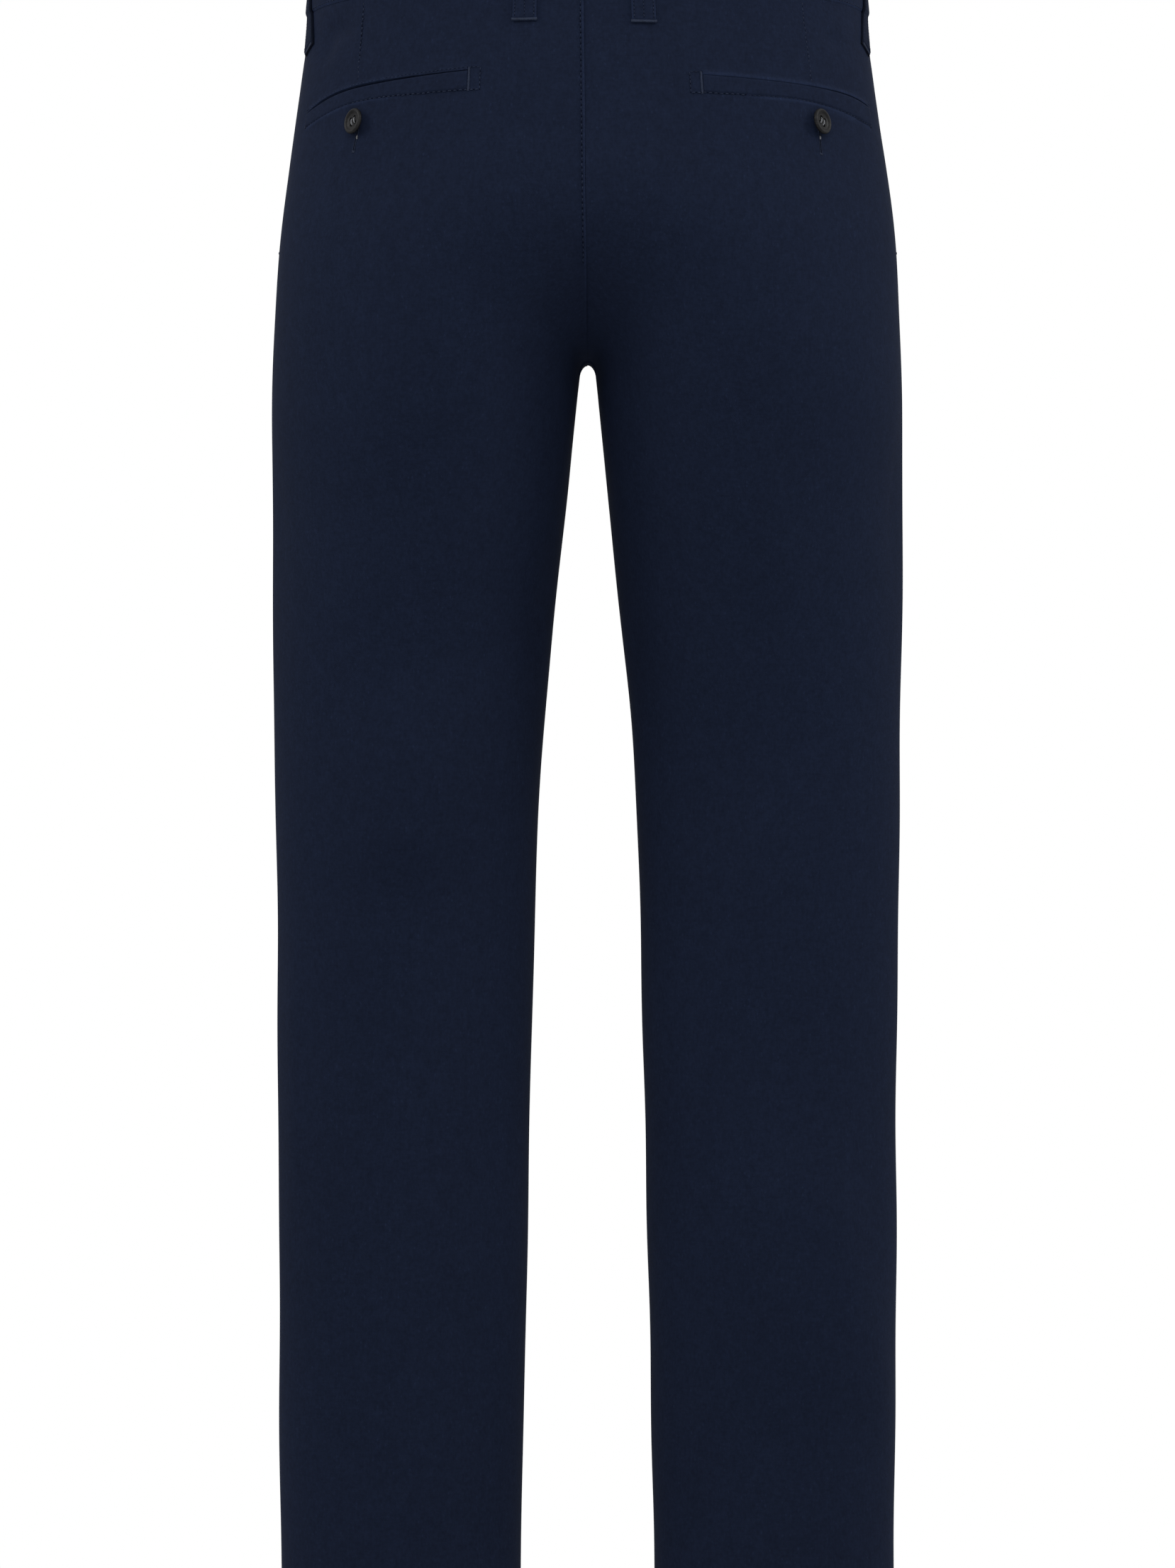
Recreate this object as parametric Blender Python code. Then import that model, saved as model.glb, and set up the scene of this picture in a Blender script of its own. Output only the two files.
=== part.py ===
"""Chino trousers in the shape they have when worn, hollow, with no wearer.

The front faces -Y and the wearer's left is +X. The origin is in the middle of the waist, halfway up the
waistband at the sides, where the wearer's waist holds the garment up.

Each half of the garment is one surface with two coordinates. "around" runs from -1 at the centre front and
the front of the inseam, through 0 at the side seam, to +1 at the centre back and the back of the inseam.
"height" is measured up from the crotch. The section is a leg's oval below the crotch and half of the torso's
oval above it, and the two are blended so that the centre seams turn under the body in a U. The pattern pieces
are walls cut out of this surface. Lengths are in millimetres until MM turns them into metres.
"""

import math

import bpy
import numpy as np
from mathutils import Matrix, Vector
from mathutils.bvhtree import BVHTree

MM = 0.001
SHARP = math.radians(40)

# Driving dimensions of the garment
WAIST_SEAM = 204.0  # lower edge of the waistband at the side, above the crotch
BAND_HEIGHT = 38.0
INSEAM = 820.0
HEM_TURN_UP = 36.0
WAIST_RISE_BACK = 4.0  # how far the waist rises from the side to the centre back
WAIST_DROP_FRONT = 14.0  # and how far it drops to the centre front
CLOTH = 1.2  # thickness of a single layer with its seam allowances
HEM_CLOTH = 2.4  # thickness of the turned-up hem
BAND_CLOTH = 2.4
BAND_PROUD = 0.4  # how far the waistband stands out from the panels below it
BAND_STEP = 3.0  # the height over which a loop follows that step
SEAM_GAP = 0.3  # between neighbouring pieces
LAID_GAP = 0.4  # under a piece that lies on another
LEAN = 2.2  # sideways lean of the body at the waist

# Sections of one half, from the top of the waistband to the hem
#    height, half width, half gap between the legs, half depth, middle of the depth
SECTIONS = (
    (250.0, 160.3, 0.0, 113.5, -1.5),
    (204.0, 162.8, 0.0, 117.0, 0.0),
    (164.0, 167.8, 0.0, 121.5, 4.0),
    (114.0, 174.5, 0.0, 126.0, 8.5),
    (64.0, 180.3, 0.6, 132.0, 11.0),
    (14.0, 183.3, 3.0, 132.0, 8.0),
    (-61.0, 185.1, 10.2, 112.0, 2.5),
    (-161.0, 184.9, 20.8, 89.5, -3.5),
    (-261.0, 183.5, 28.7, 73.0, -6.0),
    (-361.0, 182.5, 31.8, 63.5, -4.0),
    (-536.0, 181.1, 35.7, 58.5, 3.0),
    (-708.0, 179.7, 39.1, 56.5, 8.0),
    (-830.0, 178.8, 41.4, 56.0, 10.0),
)
TORSO_POWER = 2.2  # of the superellipse of the torso's section
CROTCH_REACH_BACK = 112.0  # height over which the centre back seam turns under the body
CROTCH_REACH_FRONT = 86.0
THIGH_EASE = 170.0  # how far from the crotch the sides of the thigh begin to open into the torso
THIGH_EASE_POWER = 2.2
ARCH_HEIGHT = 8.0  # the small arch between the legs under the crotch
ARCH_SPREAD = 200.0

# Centre front
FLY_WIDTH = 36.0
FLY_LAP = 5.0  # how far the left front laps over the right one
FLY_BOTTOM = 48.0  # above the crotch
FLY_CURVE = 40.0  # height of the J at the foot of the fly
FLY_CURVE_ROWS = (0.0, 0.05, 0.3, 1.0)  # where rows cross the J, as shares of its height
UNDERLAP = 36.0  # of the waistband's right end behind its left end
UNDERLAP_ROOM = 1.5  # how far past the lap the right front stays fully behind the left one
BAND_UNDERLAP_ROOM = 3.0  # and the waistband's right end
UNDERLAP_EASE = 9.0  # over which the right side comes up again

# Slant pockets
SLANT_TOP = 52.0  # from the side seam, along the waistband
SLANT_BOTTOM = 62.0  # height above the crotch where the opening meets the side seam
SLANT_ROWS = (175.0, 146.0, 117.0, 88.0)  # between the waistband and the foot of the opening
SLANT_START = 2.0  # above the foot, the first row of a front that is cut away
FACING_FOOT = 14.0  # how far the facing reaches below the opening
FACING_UNDER = 20.0  # and behind the front
FACING_EASE = 26.0
FACING_DEPTH = 1.9  # of the facing under the front's outer side

# Belt loops: name, distance of the top from the centre line along X (None: near the side seam), 1 at the
#    back or -1 at the front, drop of the foot below the waistband, how much further back the foot is sewn,
#    how far the loop swells out over the waistband's lower edge
LOOP_PLACES = (
    ("back", 34.2, 1, 23.5, 0.0, 0.0),
    ("side", None, 1, 20.5, 27.0, 1.3),
    ("front", 80.0, -1, 20.0, 0.0, 0.0),
)
LOOP_SWELL_REACH = 11.0  # above and below the waistband's lower edge
SIDE_LOOP_PLACE = 2.0  # of a side loop's top, behind the side seam
LOOP_WIDTH = 13.5
LOOP_CLOTH = 1.5
LOOP_OVERHANG = 1.0  # of the folded top above the waistband
LOOP_GAP = 7.6  # at its widest
LOOP_GAP_PLACE = 14.5  # down from the top, where it is widest
LOOP_GAP_END = 30.0  # down from the top, where the loop meets the cloth again
LOOP_STEPS_OPEN = 10
LOOP_STEPS_FLAT = 5
LOOP_COLUMNS = 3

# Back pockets
WELT_START = (66.0, 156.0)  # distance of the inner end from the centre back, and the level it is measured at
# The welt of each side: length of cloth outward from its inner end, heights of its top and bottom edges
WELT_LINES = {
    1: (
        (0.0, 156.7, 145.3), (30.0, 154.5, 144.2), (60.0, 152.2, 143.2), (80.0, 150.0, 141.0),
        (95.0, 147.1, 137.6), (106.0, 144.2, 134.9), (119.0, 140.6, 131.9),
    ),
    -1: (
        (0.0, 154.0, 143.6), (30.0, 152.9, 143.2), (60.0, 151.6, 142.5), (82.0, 150.3, 140.0),
        (98.0, 148.9, 137.3), (110.0, 147.2, 135.1), (123.0, 144.6, 132.9),
    ),
}
WELT_STEPS = 20
POCKET_BUTTON_PLACE = (132.3, 130.2)
POCKET_BUTTON_SIZE = 15.0
WAIST_BUTTON_SIZE = 17.0
WAIST_BUTTON_PLACE = 13.0  # from the centre front, on the wearer's left
# Half of a button's section from its back to its face: share of the radius, height as a share of the radius
BUTTON_PROFILE = (
    (0.62, 0.00),
    (0.94, 0.08),
    (1.00, 0.17),
    (0.96, 0.33),
    (0.84, 0.37),
    (0.66, 0.25),
)
BUTTON_BACK_RINGS = 4  # the rings of that section that can meet the cloth
HOLE_SPACING = 0.11  # of a hole from the button's middle along both axes, as a share of its size
HOLE_RADIUS = 0.075

# Facets
COLUMNS = 14
BAND_COLUMNS = 24
FLY_COLUMNS = 6
FACING_COLUMNS = 7
ROWS_ABOVE_CROTCH = 6
ROWS_TO_WAIST = 3
ROW_SPACING = 6.0  # the least one
LEG_ROWS = (-2.4, -8.0, -26.0, -54.0, -90.0, -132.0, -180.0, -236.0, -300.0, -370.0, -450.0, -540.0, -630.0,
            -710.0)
BUTTON_SIDES = 20
HOLE_SIDES = 6

NAVY = (0.0105, 0.0140, 0.0320)
NAVY_LIGHT = (0.0130, 0.0170, 0.0370)
HORN = (0.0200, 0.0210, 0.0180)


def clear_scene():
    for obj in list(bpy.context.scene.objects):
        bpy.data.objects.remove(obj, do_unlink=True)


def material(name, colour, roughness):
    made = bpy.data.materials.new(name)
    made.use_nodes = True
    shader = made.node_tree.nodes["Principled BSDF"]
    shader.inputs["Base Color"].default_value = (*colour, 1.0)
    shader.inputs["Roughness"].default_value = roughness
    shader.inputs["Metallic"].default_value = 0.0
    return made


# ---- the surface ----


def smooth_curve(where, known, values):
    """A curve through values that are known at rising places."""
    slopes = np.gradient(values, known)
    where = np.clip(where, known[0], known[-1])
    i = np.clip(np.searchsorted(known, where) - 1, 0, len(known) - 2)
    span = known[i + 1] - known[i]
    t = (where - known[i]) / span
    start = (1 + 2 * t) * (1 - t) ** 2 * values[i] + t * (1 - t) ** 2 * span * slopes[i]
    end = t * t * (3 - 2 * t) * values[i + 1] + t * t * (t - 1) * span * slopes[i + 1]
    return start + end


def smooth_column(height, column):
    """A column of SECTIONS at any height."""
    rows = np.array(SECTIONS)[::-1]
    return smooth_curve(height, rows[:, 0], rows[:, column])


def smooth_step(value):
    value = np.clip(value, 0.0, 1.0)
    return value * value * (3 - 2 * value)


def eased_ramp(height, ease):
    """Zero below -ease, the height itself above +ease, and a smooth curve between them."""
    ease = np.maximum(ease, 1e-6)
    t = np.clip((height + ease) / (2 * ease), 0.0, 1.0)
    return np.where(height > ease, height, ease * (2 * t**3 - t**4))


def quarter_round(value):
    """Rises like a quarter of a circle, from 0 at 0 to 1 at 1."""
    return np.sqrt(1 - (1 - np.clip(value, 0.0, 1.0)) ** 2)


def signed_power(value, power):
    return np.sign(value) * np.abs(value) ** power


def surface(side, around, height):
    """Points of the garment's outer surface. side is 1 for the wearer's left and -1 for the right.

    Past -1 or +1, around goes on to the other half above the crotch, and on round the same leg below it.
    """
    around, height = np.broadcast_arrays(np.asarray(around, float), np.asarray(height, float))
    past = np.abs(around) > 1
    mirrored = past & (height >= 0)
    side = np.where(mirrored, -side, side)
    around = np.where(mirrored, np.sign(around) * 2 - around, around)
    around = np.where(past & ~mirrored, around - np.sign(around) * 2, around)
    width, gap, depth, middle = (smooth_column(height, column) for column in (1, 2, 3, 4))
    inner = 1 - np.abs(around)
    arch = quarter_round((np.maximum(-height, 0) + ARCH_SPREAD * inner) / ARCH_HEIGHT)
    gap = np.maximum(gap, 0) * arch
    leg_x = gap + (width - gap) * (1 + np.cos(np.pi * around)) / 2
    leg_y = depth * np.sin(np.pi * around)
    turn = np.pi / 2 * around
    torso_x = width * signed_power(np.cos(turn), 2 / TORSO_POWER)
    torso_y = depth * signed_power(np.sin(turn), 2 / TORSO_POWER)
    reach = np.where(around > 0, CROTCH_REACH_BACK, CROTCH_REACH_FRONT)
    ease = THIGH_EASE * (1 - (1 - inner) ** THIGH_EASE_POWER)
    torso = quarter_round(eased_ramp(height, ease) / reach)
    x = leg_x + torso * (torso_x - leg_x) + SEAM_GAP / 2
    y = middle + leg_y + torso * (torso_y - leg_y)
    lean = LEAN * height / WAIST_SEAM * (1 - np.minimum(x / width, 1) ** 2)
    return np.stack([side * x + np.where(height > 0, lean, 0), y, height], axis=-1)


def normals(side, around, height):
    """Outward directions of the surface."""
    step, lift = 0.002, 0.5
    across = surface(side, around + step, height) - surface(side, around - step, height)
    upward = surface(side, around, height + lift) - surface(side, around, height - lift)
    out = side * np.cross(across, upward)
    return out / np.linalg.norm(out, axis=-1, keepdims=True)


def waist_line(around, above=0.0):
    """Height of the waistband's lower edge, which drops at the front and rises at the back."""
    swing = np.sin(np.pi / 2 * np.asarray(around, float))
    tilt = np.where(swing > 0, WAIST_RISE_BACK, -WAIST_DROP_FRONT) * swing**2
    return WAIST_SEAM + tilt + above


def tilted(around, height):
    """A level row near the waist, tilted to follow the waistband."""
    start = CROTCH_REACH_BACK
    share = smooth_step((height - start) / (WAIST_SEAM - start))
    return height + share * (waist_line(around) - WAIST_SEAM)


def around_at_x(distance, height, half):
    """The place at the back (half is 1) or the front (half is -1) that is a distance from the centre line."""
    tries = half * np.linspace(1, 0, 241)
    centre = surface(1, half, height)[..., 0]
    return float(np.interp(distance, surface(1, tries, height)[:, 0] - centre, tries))


def around_from(start, length, height):
    """The places that are lengths of cloth away from start along one level, towards the back if positive."""
    tries = np.linspace(-1, 1, 801)
    steps = np.linalg.norm(np.diff(surface(1, tries, height), axis=0), axis=1)
    run = np.concatenate([[0], np.cumsum(steps)])
    return np.interp(np.interp(start, tries, run) + length, run, tries)


# ---- walls ----


def to_world(points):
    """From millimetres above the crotch to metres around the waist."""
    shift = np.array([0.0, 0.0, -(WAIST_SEAM + BAND_HEIGHT / 2)])
    return (np.asarray(points) + shift) * MM


def wall_object(name, outer, inner, side, paint):
    """A closed wall between two grids of points. Rows go down, and columns go from the front to the back."""
    rows, columns = outer.shape[:2]
    count = rows * columns

    def corner(row, column, layer):
        return layer * count + row * columns + column

    faces = []
    for row in range(rows - 1):
        for column in range(columns - 1):
            around = ((row, column), (row + 1, column), (row + 1, column + 1), (row, column + 1))
            faces.append([corner(*place, 0) for place in around])
            faces.append([corner(*place, 1) for place in reversed(around)])
    top = [(0, column) for column in range(columns)]
    right = [(row, columns - 1) for row in range(rows)]
    bottom = [(rows - 1, column) for column in reversed(range(columns))]
    left = [(row, 0) for row in reversed(range(rows))]
    for edge in (top, right, bottom, left):
        for here, there in zip(edge, edge[1:]):
            faces.append([corner(*here, 0), corner(*there, 0), corner(*there, 1), corner(*here, 1)])
    if side < 0:
        faces = [face[::-1] for face in faces]
    points = np.concatenate([to_world(outer).reshape(-1, 3), to_world(inner).reshape(-1, 3)])
    mesh = bpy.data.meshes.new(name)
    mesh.from_pydata(points.tolist(), [], faces)
    mesh.update()
    mesh.materials.append(paint)
    mesh.shade_smooth()
    mesh.set_sharp_from_angle(angle=SHARP)
    obj = bpy.data.objects.new(name, mesh)
    bpy.context.scene.collection.objects.link(obj)
    return obj


def moved_out(side, around, height, out):
    return surface(side, around, height) + normals(side, around, height) * np.asarray(out)[..., None]


def panel_rows(reach, top_rows):
    """Heights of a panel's rows, top to bottom: even along the U of the centre seam, then down the leg."""
    turn = np.linspace(0, np.pi / 2, ROWS_ABOVE_CROTCH + 1)
    above = (reach * (1 - np.cos(turn)))[::-1]
    return np.concatenate([top_rows, above[1:-1], [0.0], LEG_ROWS, [HEM_TURN_UP - INSEAM, -INSEAM]])


def laid_wall(name, side, around, height, paint, thickness, out=0.0):
    """A wall whose outer face lies a distance out from the surface. Its columns may run either way."""
    outer = moved_out(side, around, height, out)
    inner = moved_out(side, around, height, out - thickness)
    if around[0, 0] > around[0, -1]:
        outer, inner = outer[:, ::-1], inner[:, ::-1]
    return wall_object(name, outer, inner, side, paint)


def seam_share(height):
    """Half a seam gap, as a share of the way around."""
    return SEAM_GAP / 2 / np.pi / smooth_column(height, 3)


def panel(name, side, rows, outer_edge, inner_edge, paint, dip=None):
    """One front or back. The edges give the place around the body of its long sides at each row."""
    spread = np.linspace(0, 1, COLUMNS + 1)
    starts = np.array([outer_edge(height) for height in rows])[:, None]
    ends = np.array([inner_edge(height) for height in rows])[:, None]
    around = starts + (ends - starts) * spread
    height = tilted(around, np.array(rows)[:, None])
    height[0] -= SEAM_GAP
    out = np.zeros_like(around) if dip is None else -dip(around, height)
    thickness = np.where(height < LEG_ROWS[-1], HEM_CLOTH, CLOTH)
    return laid_wall(name, side, around, height, paint, thickness, out)


def build_backs(paint):
    """The two backs, returned by side."""
    top_rows = np.linspace(WAIST_SEAM, CROTCH_REACH_BACK, ROWS_TO_WAIST + 1)
    rows = panel_rows(CROTCH_REACH_BACK, top_rows)
    return {
        side: panel(name, side, rows, seam_share, lambda height: 1 - seam_share(height), paint)
        for side, name in ((1, "back_left"), (-1, "back_right"))
    }


def slant_edge(height):
    """Where the front is cut away for the slant pocket, as a place around the body."""
    share = (height - SLANT_BOTTOM) / (WAIST_SEAM - SLANT_BOTTOM)
    if share <= 0:
        return -seam_share(height)
    return around_from(0.0, -SLANT_TOP * share, height) - seam_share(height)


def fly_edge(height):
    """The J line of the fly, as a place around the body on the wearer's left."""
    share = (height - FLY_BOTTOM) / FLY_CURVE
    if share <= 0:
        return -1 + seam_share(height)
    width = FLY_WIDTH * quarter_round(share)
    return around_at_x(width, height, -1) + seam_share(height)


def front_rows():
    """Rows of a front, some of them through the foot of the slant pocket and the curve of the fly."""
    top_rows = [height for height in SLANT_ROWS if height > CROTCH_REACH_FRONT + 2 * ROW_SPACING]
    rows = panel_rows(CROTCH_REACH_FRONT, [WAIST_SEAM] + top_rows)
    marks = [FLY_BOTTOM + share * FLY_CURVE for share in FLY_CURVE_ROWS]
    kept = [height for height in rows if min(abs(height - mark) for mark in marks) > ROW_SPACING]
    return np.array(sorted(kept + marks + [SLANT_BOTTOM + SLANT_START], reverse=True))


def right_dip(around, height):
    """How far the right front lies inward near the centre front, to pass behind the fly."""
    distance = np.abs(surface(1, around, height)[..., 0] - surface(1, -1.0, height)[..., 0])
    near = 1 - smooth_step((distance - FLY_LAP - UNDERLAP_ROOM) / UNDERLAP_EASE)
    tall = smooth_step((height - FLY_BOTTOM + FLY_CURVE / 2) / (FLY_CURVE / 2))
    return (CLOTH + LAID_GAP) * near * tall


def build_fronts(paint):
    rows = front_rows()
    panel("front_left", 1, rows, slant_edge, fly_edge, paint)
    panel("front_right", -1, rows, slant_edge, lambda height: -1 + seam_share(height), paint, right_dip)


def build_fly(paint):
    """The fly placket: it fills the left front up to the centre and laps over the right front."""
    rows = [height for height in front_rows() if height > FLY_BOTTOM - 1]
    around = []
    for level in rows:
        start = fly_edge(level) - 2 * seam_share(level)
        end = -2 - around_at_x(FLY_LAP, level, -1)
        around.append(np.linspace(start, end, FLY_COLUMNS))
    around = np.array(around)
    height = tilted(around, np.array(rows)[:, None])
    height[0] -= SEAM_GAP
    laid_wall("fly", 1, around, height, paint, CLOTH)


def build_facings(paint):
    """Cloth behind each slant pocket, level with the garment at the side seam and deeper behind the front."""
    rows = np.array([WAIST_SEAM, *SLANT_ROWS, SLANT_BOTTOM, SLANT_BOTTOM - FACING_FOOT])
    around, exposed = [], []
    for level in rows:
        edge = slant_edge(level)
        places = np.linspace(-seam_share(level), around_from(edge, -FACING_UNDER, level), FACING_COLUMNS)
        off_edge = np.linalg.norm(surface(1, places, level) - surface(1, edge, level), axis=-1)
        around.append(places)
        exposed.append(np.where(places > edge, off_edge, 0.0))
    around = np.array(around)
    height = tilted(around, rows[:, None])
    height[0] -= SEAM_GAP
    out = -FACING_DEPTH * (1 - smooth_step(np.array(exposed) / FACING_EASE))
    for side, name in ((1, "pocket_facing_left"), (-1, "pocket_facing_right")):
        laid_wall(name, side, around, height, paint, CLOTH, out)


def build_waistband(paint):
    """Two halves. The left one laps over the right one at the centre front, and is returned."""
    above = np.array([BAND_HEIGHT, BAND_HEIGHT / 2, 0.0])[:, None]
    spread = np.linspace(1 - seam_share(WAIST_SEAM), -1, BAND_COLUMNS + 1)
    front = float(waist_line(-1.0))
    left = np.append(spread, -2 - around_at_x(FLY_LAP, front, -1))
    height = waist_line(np.maximum(left, -1), above)
    around = np.tile(left, (3, 1))
    left_half = laid_wall("waistband_left", 1, around, height, paint, BAND_CLOTH, BAND_PROUD)

    hidden = [-2 - around_at_x(share * UNDERLAP, front, -1) for share in np.linspace(0, 1, 4)[1:]]
    right = np.append(spread, hidden)
    height = waist_line(np.maximum(right, -1), above)
    distance = np.abs(surface(1, right, height)[..., 0] - surface(1, -1.0, height)[..., 0])
    near = 1 - smooth_step((distance - FLY_LAP - BAND_UNDERLAP_ROOM) / UNDERLAP_EASE)
    near = np.where(right < -1, 1.0, near)
    out = BAND_PROUD - (BAND_CLOTH + LAID_GAP) * np.where(right < 0, near, 0.0)
    laid_wall("waistband_right", -1, np.tile(right, (3, 1)), height, paint, BAND_CLOTH, out)
    return left_half


def loop_profile(length):
    """Rows of a belt loop from its folded top to its foot: distance down from the top, and off the cloth."""
    down = np.linspace(0, LOOP_GAP_END, LOOP_STEPS_OPEN + 1)
    down = np.concatenate([down, np.linspace(LOOP_GAP_END, length, LOOP_STEPS_FLAT + 1)[1:]])
    rising = np.sin(np.pi / 2 * np.clip(down / LOOP_GAP_PLACE, 0, 1))
    closing = np.clip((down - LOOP_GAP_PLACE) / (LOOP_GAP_END - LOOP_GAP_PLACE), 0, 1)
    falling = 0.5 + 0.5 * np.cos(np.pi * closing)
    off = np.where(down < LOOP_GAP_PLACE, rising, falling) * (LOOP_GAP - LAID_GAP) + LAID_GAP
    return down[:, None], off[:, None]


def build_loops(paint):
    """Strips that lean back on their way down if the foot is sewn further back. The foot is cut square."""
    across = np.linspace(-LOOP_WIDTH / 2, LOOP_WIDTH / 2, LOOP_COLUMNS)
    for place, distance, half, drop, shift, swell in LOOP_PLACES:
        length = LOOP_OVERHANG + BAND_HEIGHT + drop
        down, off = loop_profile(length)
        lean = math.atan2(shift, length)
        if distance is None:
            centre = around_from(0.0, SIDE_LOOP_PLACE, WAIST_SEAM)
        else:
            centre = around_at_x(distance, WAIST_SEAM, half)
        around = around_from(centre, shift * down / length + across / math.cos(lean), WAIST_SEAM)
        height = waist_line(around, BAND_HEIGHT + LOOP_OVERHANG - down)
        height = height + across * math.sin(lean) * down / length
        above_seam = height - waist_line(around)
        on_band = smooth_step((above_seam + BAND_STEP) / BAND_STEP)
        swollen = smooth_step(1 - np.abs(above_seam) / LOOP_SWELL_REACH)
        out = LOOP_CLOTH + off + BAND_PROUD * on_band + swell * swollen
        for side, hand in ((1, "left"), (-1, "right")):
            laid_wall(f"belt_loop_{place}_{hand}", side, around, height, paint, LOOP_CLOTH, out)


def build_welts(paint):
    """Each pocket's welt, a strip that lies on the back and falls towards its outer end. Returned by side."""
    start = around_at_x(*WELT_START, 1)
    welts = {}
    for side, name in ((1, "pocket_welt_left"), (-1, "pocket_welt_right")):
        lengths, tops, bottoms = np.array(WELT_LINES[side]).T
        along = np.linspace(0, lengths[-1], WELT_STEPS + 1)
        top, bottom = (smooth_curve(along, lengths, edge) for edge in (tops, bottoms))
        height = top + (bottom - top) * np.array([0.0, 0.5, 1.0])[:, None]
        around = np.broadcast_to(around_from(start, -along, WELT_START[1]), height.shape)
        welts[side] = laid_wall(name, side, around, height, paint, CLOTH, LAID_GAP + CLOTH)
    return welts


# ---- buttons ----


def button_rings(size):
    """Rings of points around a button's axis, one for each row of its profile."""
    radius = size / 2
    turns = [2 * math.pi * step / BUTTON_SIDES for step in range(BUTTON_SIDES)]
    return [
        [(share * radius * math.cos(turn), share * radius * math.sin(turn), lift * radius) for turn in turns]
        for share, lift in BUTTON_PROFILE
    ]


def button_mesh(name, size):
    """A button turned from its profile, with a rim and a dish, its face along +Z."""
    mesh = bpy.data.meshes.new(name)
    points = [point for ring in button_rings(size) for point in ring]
    faces = []
    for ring in range(len(BUTTON_PROFILE) - 1):
        for step in range(BUTTON_SIDES):
            following = (step + 1) % BUTTON_SIDES
            low, high = ring * BUTTON_SIDES, (ring + 1) * BUTTON_SIDES
            faces.append((low + step, low + following, high + following, high + step))
    count = len(points)
    faces.append(tuple(range(BUTTON_SIDES))[::-1])
    faces.append(tuple(range(count - BUTTON_SIDES, count)))
    mesh.from_pydata([tuple(value * MM for value in point) for point in points], [], faces)
    mesh.update()
    return mesh


def hole_cutter(name, size):
    """Four upright rods that cut a button's holes."""
    spacing, radius = HOLE_SPACING * size, HOLE_RADIUS * size
    points, faces = [], []
    for across, along in ((1, 1), (1, -1), (-1, -1), (-1, 1)):
        base = len(points)
        for lift in (-size, size):
            for step in range(HOLE_SIDES):
                turn = 2 * math.pi * (step + 0.5) / HOLE_SIDES
                x = across * spacing + radius * math.cos(turn)
                y = along * spacing + radius * math.sin(turn)
                points.append((x * MM, y * MM, lift * MM))
        for step in range(HOLE_SIDES):
            following = (step + 1) % HOLE_SIDES
            rim = base + HOLE_SIDES
            faces.append((base + step, base + following, rim + following, rim + step))
        faces.append(tuple(range(base, base + HOLE_SIDES))[::-1])
        faces.append(tuple(range(base + HOLE_SIDES, base + 2 * HOLE_SIDES)))
    mesh = bpy.data.meshes.new(name)
    mesh.from_pydata(points, [], faces)
    mesh.update()
    cutter = bpy.data.objects.new(name, mesh)
    cutter.hide_render = True
    cutter.display_type = "WIRE"
    return cutter


def lift_to_rest(size, place, walls):
    """How far a button moves along its axis to rest on the walls behind it, with LAID_GAP between them."""
    outward = (place.to_3x3() @ Vector((0, 0, 1))).normalized()
    needed = []
    for wall in walls:
        mesh = wall.data
        tree = BVHTree.FromPolygons([v.co for v in mesh.vertices], [p.vertices for p in mesh.polygons])
        for ring in button_rings(size)[:BUTTON_BACK_RINGS]:
            for point in ring:
                start = place @ (Vector(point) * MM) + outward * size * MM
                hit, _, _, distance = tree.ray_cast(start, -outward, 2 * size * MM)
                if hit is not None:
                    needed.append(size * MM - distance)
    return outward * (max(needed) + LAID_GAP * MM)


def build_button(name, size, side, around, height, walls, paint):
    """A button that rests on walls, its face outward."""
    seat = Vector(to_world(surface(side, around, height)))
    turned = Vector(normals(side, around, height)).to_track_quat("Z", "Y").to_matrix().to_4x4()
    place = Matrix.Translation(seat) @ turned
    place = Matrix.Translation(lift_to_rest(size, place, walls)) @ place
    button = bpy.data.objects.new(name, button_mesh(name, size))
    button.data.materials.append(paint)
    button.data.shade_smooth()
    button.data.set_sharp_from_angle(angle=SHARP)
    cutter = hole_cutter(f"{name}_holes", size)
    for obj in (button, cutter):
        bpy.context.scene.collection.objects.link(obj)
        obj.matrix_world = place
    holes = button.modifiers.new("holes", "BOOLEAN")
    holes.operation = "DIFFERENCE"
    holes.object = cutter


def build_buttons(backs, welts, left_band, paint):
    distance, height = POCKET_BUTTON_PLACE
    around = around_at_x(distance, height, 1)
    for side, name in ((1, "pocket_button_left"), (-1, "pocket_button_right")):
        build_button(name, POCKET_BUTTON_SIZE, side, around, height, (backs[side], welts[side]), paint)
    middle = float(waist_line(-1.0, BAND_HEIGHT / 2))
    around = around_at_x(WAIST_BUTTON_PLACE, middle, -1)
    build_button("waist_button", WAIST_BUTTON_SIZE, 1, around, middle, (left_band,), paint)


def main():
    clear_scene()
    twill = material("navy twill", NAVY, 0.85)
    band = material("navy twill, waistband", NAVY_LIGHT, 0.85)
    horn = material("dark horn", HORN, 0.35)
    backs = build_backs(twill)
    build_fronts(twill)
    build_fly(twill)
    build_facings(twill)
    left_band = build_waistband(band)
    build_loops(band)
    welts = build_welts(band)
    build_buttons(backs, welts, left_band, horn)


main()
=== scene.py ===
"""The look of a pair of navy chino trousers, dressed over its fixed CAD frame.

Every cloth piece is a thin closed shell on the same surface as its CAD node, with the seams' relief, folds
and pressed edges. Sewing, bartacks, buttonholes and buttons are geometry of their own. Lengths are in
millimetres, and heights are above the crotch, until to_world turns them into metres around the waist. The
front faces -Y, the wearer's left is +X, and side is 1 for the left half and -1 for the right one.
"""

import math

import bpy
import numpy as np
from mathutils import Matrix, Vector


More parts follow.
